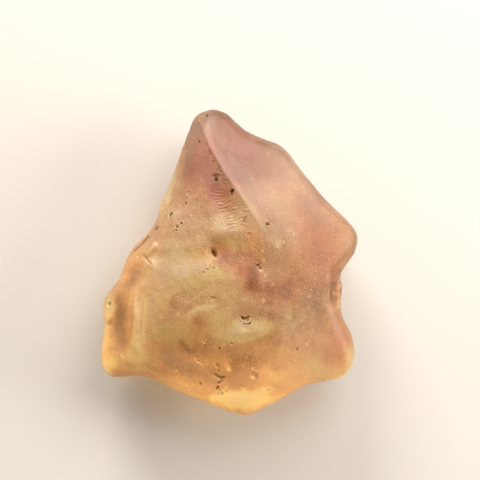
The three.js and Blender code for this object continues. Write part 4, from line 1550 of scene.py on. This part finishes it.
    def bruises_and_glints(self, points: np.ndarray) -> np.ndarray:
        """Gives how strongly each point is marked by bruise marks and their painted glints, which is 1 in the
        middle of one.
        """
        away = (np.hypot(points[:, 0] - x, points[:, 1] - y) for x, y in BRUISES_AND_GLINTS)
        return sum(soft_peak(distance, 0, self.bruise_and_glint_mm) for distance in away)

    def thin_underside(self) -> None:
        """Thins the mesh of the underside, which needs less of it, keeping its shape."""
        self.select_faces(read_rows(self.piece.data.polygons, "normal")[:, 2] < self.thinned_normal)
        bpy.ops.mesh.decimate(ratio=self.thinning)
        bpy.ops.object.mode_set(mode="OBJECT")

    def to_metres(self) -> None:
        """Scales the mesh back to metres, turns all faces outwards and shades it smooth."""
        select_only(self.piece)
        bpy.ops.object.mode_set(mode="EDIT")
        bpy.ops.mesh.select_all(action="SELECT")
        bpy.ops.transform.resize(value=(MILLIMETRE,) * 3, center_override=(0, 0, 0))
        bpy.ops.mesh.normals_make_consistent(inside=False)
        bpy.ops.object.mode_set(mode="OBJECT")
        bpy.ops.object.shade_smooth()

    def dress(self, finish: DesertGlass) -> None:
        """Gives the lump its glass and puts it in the frame.

        Args:
            finish: The glass.
        """
        self.piece.data.materials.clear()
        self.piece.data.materials.append(finish.material())
        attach(self.piece, BODY)
        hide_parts(SOLID)


@dataclass(frozen=True)
class MattPaint:
    """Matt pale paint on a board, rolled on, which spreads the light evenly and shows no gloss."""

    name: str = "matt_painted_board"
    colour: str = "#bcb3a9"
    roughness: float = 0.8

    def material(self) -> bpy.types.Material:
        """Makes the material.

        Returns:
            A plain material.
        """
        material = bpy.data.materials.new(self.name)
        material.use_nodes = True
        paint = material.node_tree.nodes["Principled BSDF"]
        paint.inputs["Base Color"].default_value = linear_colour(self.colour)
        paint.inputs["Roughness"].default_value = self.roughness
        return material


@dataclass(frozen=True)
class Lamp:
    """A round soft lamp aimed at the lump: direction in degrees, power in watts, size and distance in metres.

    One that isn't mirrored lights the lump but has no mirror image in its skin.
    """

    name: str
    azimuth: float
    elevation: float
    watts: float
    size: float = 0.16
    distance: float = 0.3
    mirrored: bool = True

    def hang(self) -> None:
        """Hangs the lamp."""
        azimuth = math.radians(self.azimuth)
        elevation = math.radians(self.elevation)
        level = self.distance * math.cos(elevation)
        place = Vector(
            (level * math.cos(azimuth), level * math.sin(azimuth), self.distance * math.sin(elevation))
        )
        bpy.ops.object.light_add(type="AREA", location=place)
        lamp = bpy.context.active_object
        lamp.name = self.name
        lamp.data.shape = "DISK"
        lamp.data.size = self.size
        lamp.data.energy = self.watts
        lamp.rotation_euler = place.to_track_quat("Z", "Y").to_euler()
        lamp.visible_glossy = self.mirrored


@dataclass
class Studio:
    """A pale table under soft light, seen from straight above.

    The view is measured at the subject's height, where the lump's outline is widest.
    """

    paint: MattPaint = MattPaint()
    table_size: float = 1.2
    table_gap_mm: float = 0.05
    view_width_mm: float = 52.03
    view_middle_mm: tuple[float, float] = (1.165, 2.42)
    camera_height_mm: float = 254.0
    subject_height_mm: float = 4.0
    nearest_seen_mm: float = 10.0
    lamps: tuple[Lamp, ...] = (
        Lamp("low_lamp_behind", 105, 20, 1.7, mirrored=False),
        Lamp("low_lamp_right", 5, 20, 1.05),
        Lamp("high_lamp", 58, 41, 0.95, 0.25),
    )
    fill_colour: str = "#f3f1ee"
    fill_strength: float = 0.5

    def lay_table(self) -> None:
        """Lays the table, a hair below the lump so that the two surfaces don't coincide."""
        bpy.ops.object.select_all(action="DESELECT")
        place = (0, 0, -self.table_gap_mm * MILLIMETRE)
        bpy.ops.mesh.primitive_plane_add(size=self.table_size, location=place)
        table = bpy.context.active_object
        table.name = "table"
        table.data.materials.append(self.paint.material())

    def hang_lights(self) -> None:
        """Hangs the lamps, low ones for the glow in the glass, and fills the rest with pale light."""
        for lamp in self.lamps:
            lamp.hang()
        world = bpy.data.worlds.new("soft_room")
        world.use_nodes = True
        sky = world.node_tree.nodes["Background"]
        sky.inputs["Color"].default_value = linear_colour(self.fill_colour)
        sky.inputs["Strength"].default_value = self.fill_strength
        bpy.context.scene.world = world

    def set_camera(self) -> None:
        """Sets the camera straight above, with the view that the lump is known from."""
        x, y = self.view_middle_mm
        place = Vector((x, y, self.camera_height_mm)) * MILLIMETRE
        bpy.ops.object.camera_add(location=place, rotation=(0, 0, 0))
        camera = bpy.context.active_object
        camera.name = "camera"
        away = self.camera_height_mm - self.subject_height_mm
        camera.data.lens = camera.data.sensor_width * away / self.view_width_mm
        camera.data.clip_start = self.nearest_seen_mm * MILLIMETRE
        bpy.context.scene.camera = camera
        bpy.context.scene.view_settings.view_transform = "Standard"


def main() -> None:
    """Builds the lump and its surroundings in order."""
    logging.basicConfig(level=logging.INFO, format="%(message)s")
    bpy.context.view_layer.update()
    lump = GlassLump()
    piece = lump.build()
    lump.dress(DesertGlass())
    triangles = sum(len(face.vertices) - 2 for face in piece.data.polygons)
    LOG.info("%s: %d triangles", piece.name, triangles)
    studio = Studio()
    studio.lay_table()
    studio.hang_lights()
    studio.set_camera()


if __name__ == "__main__":
    main()
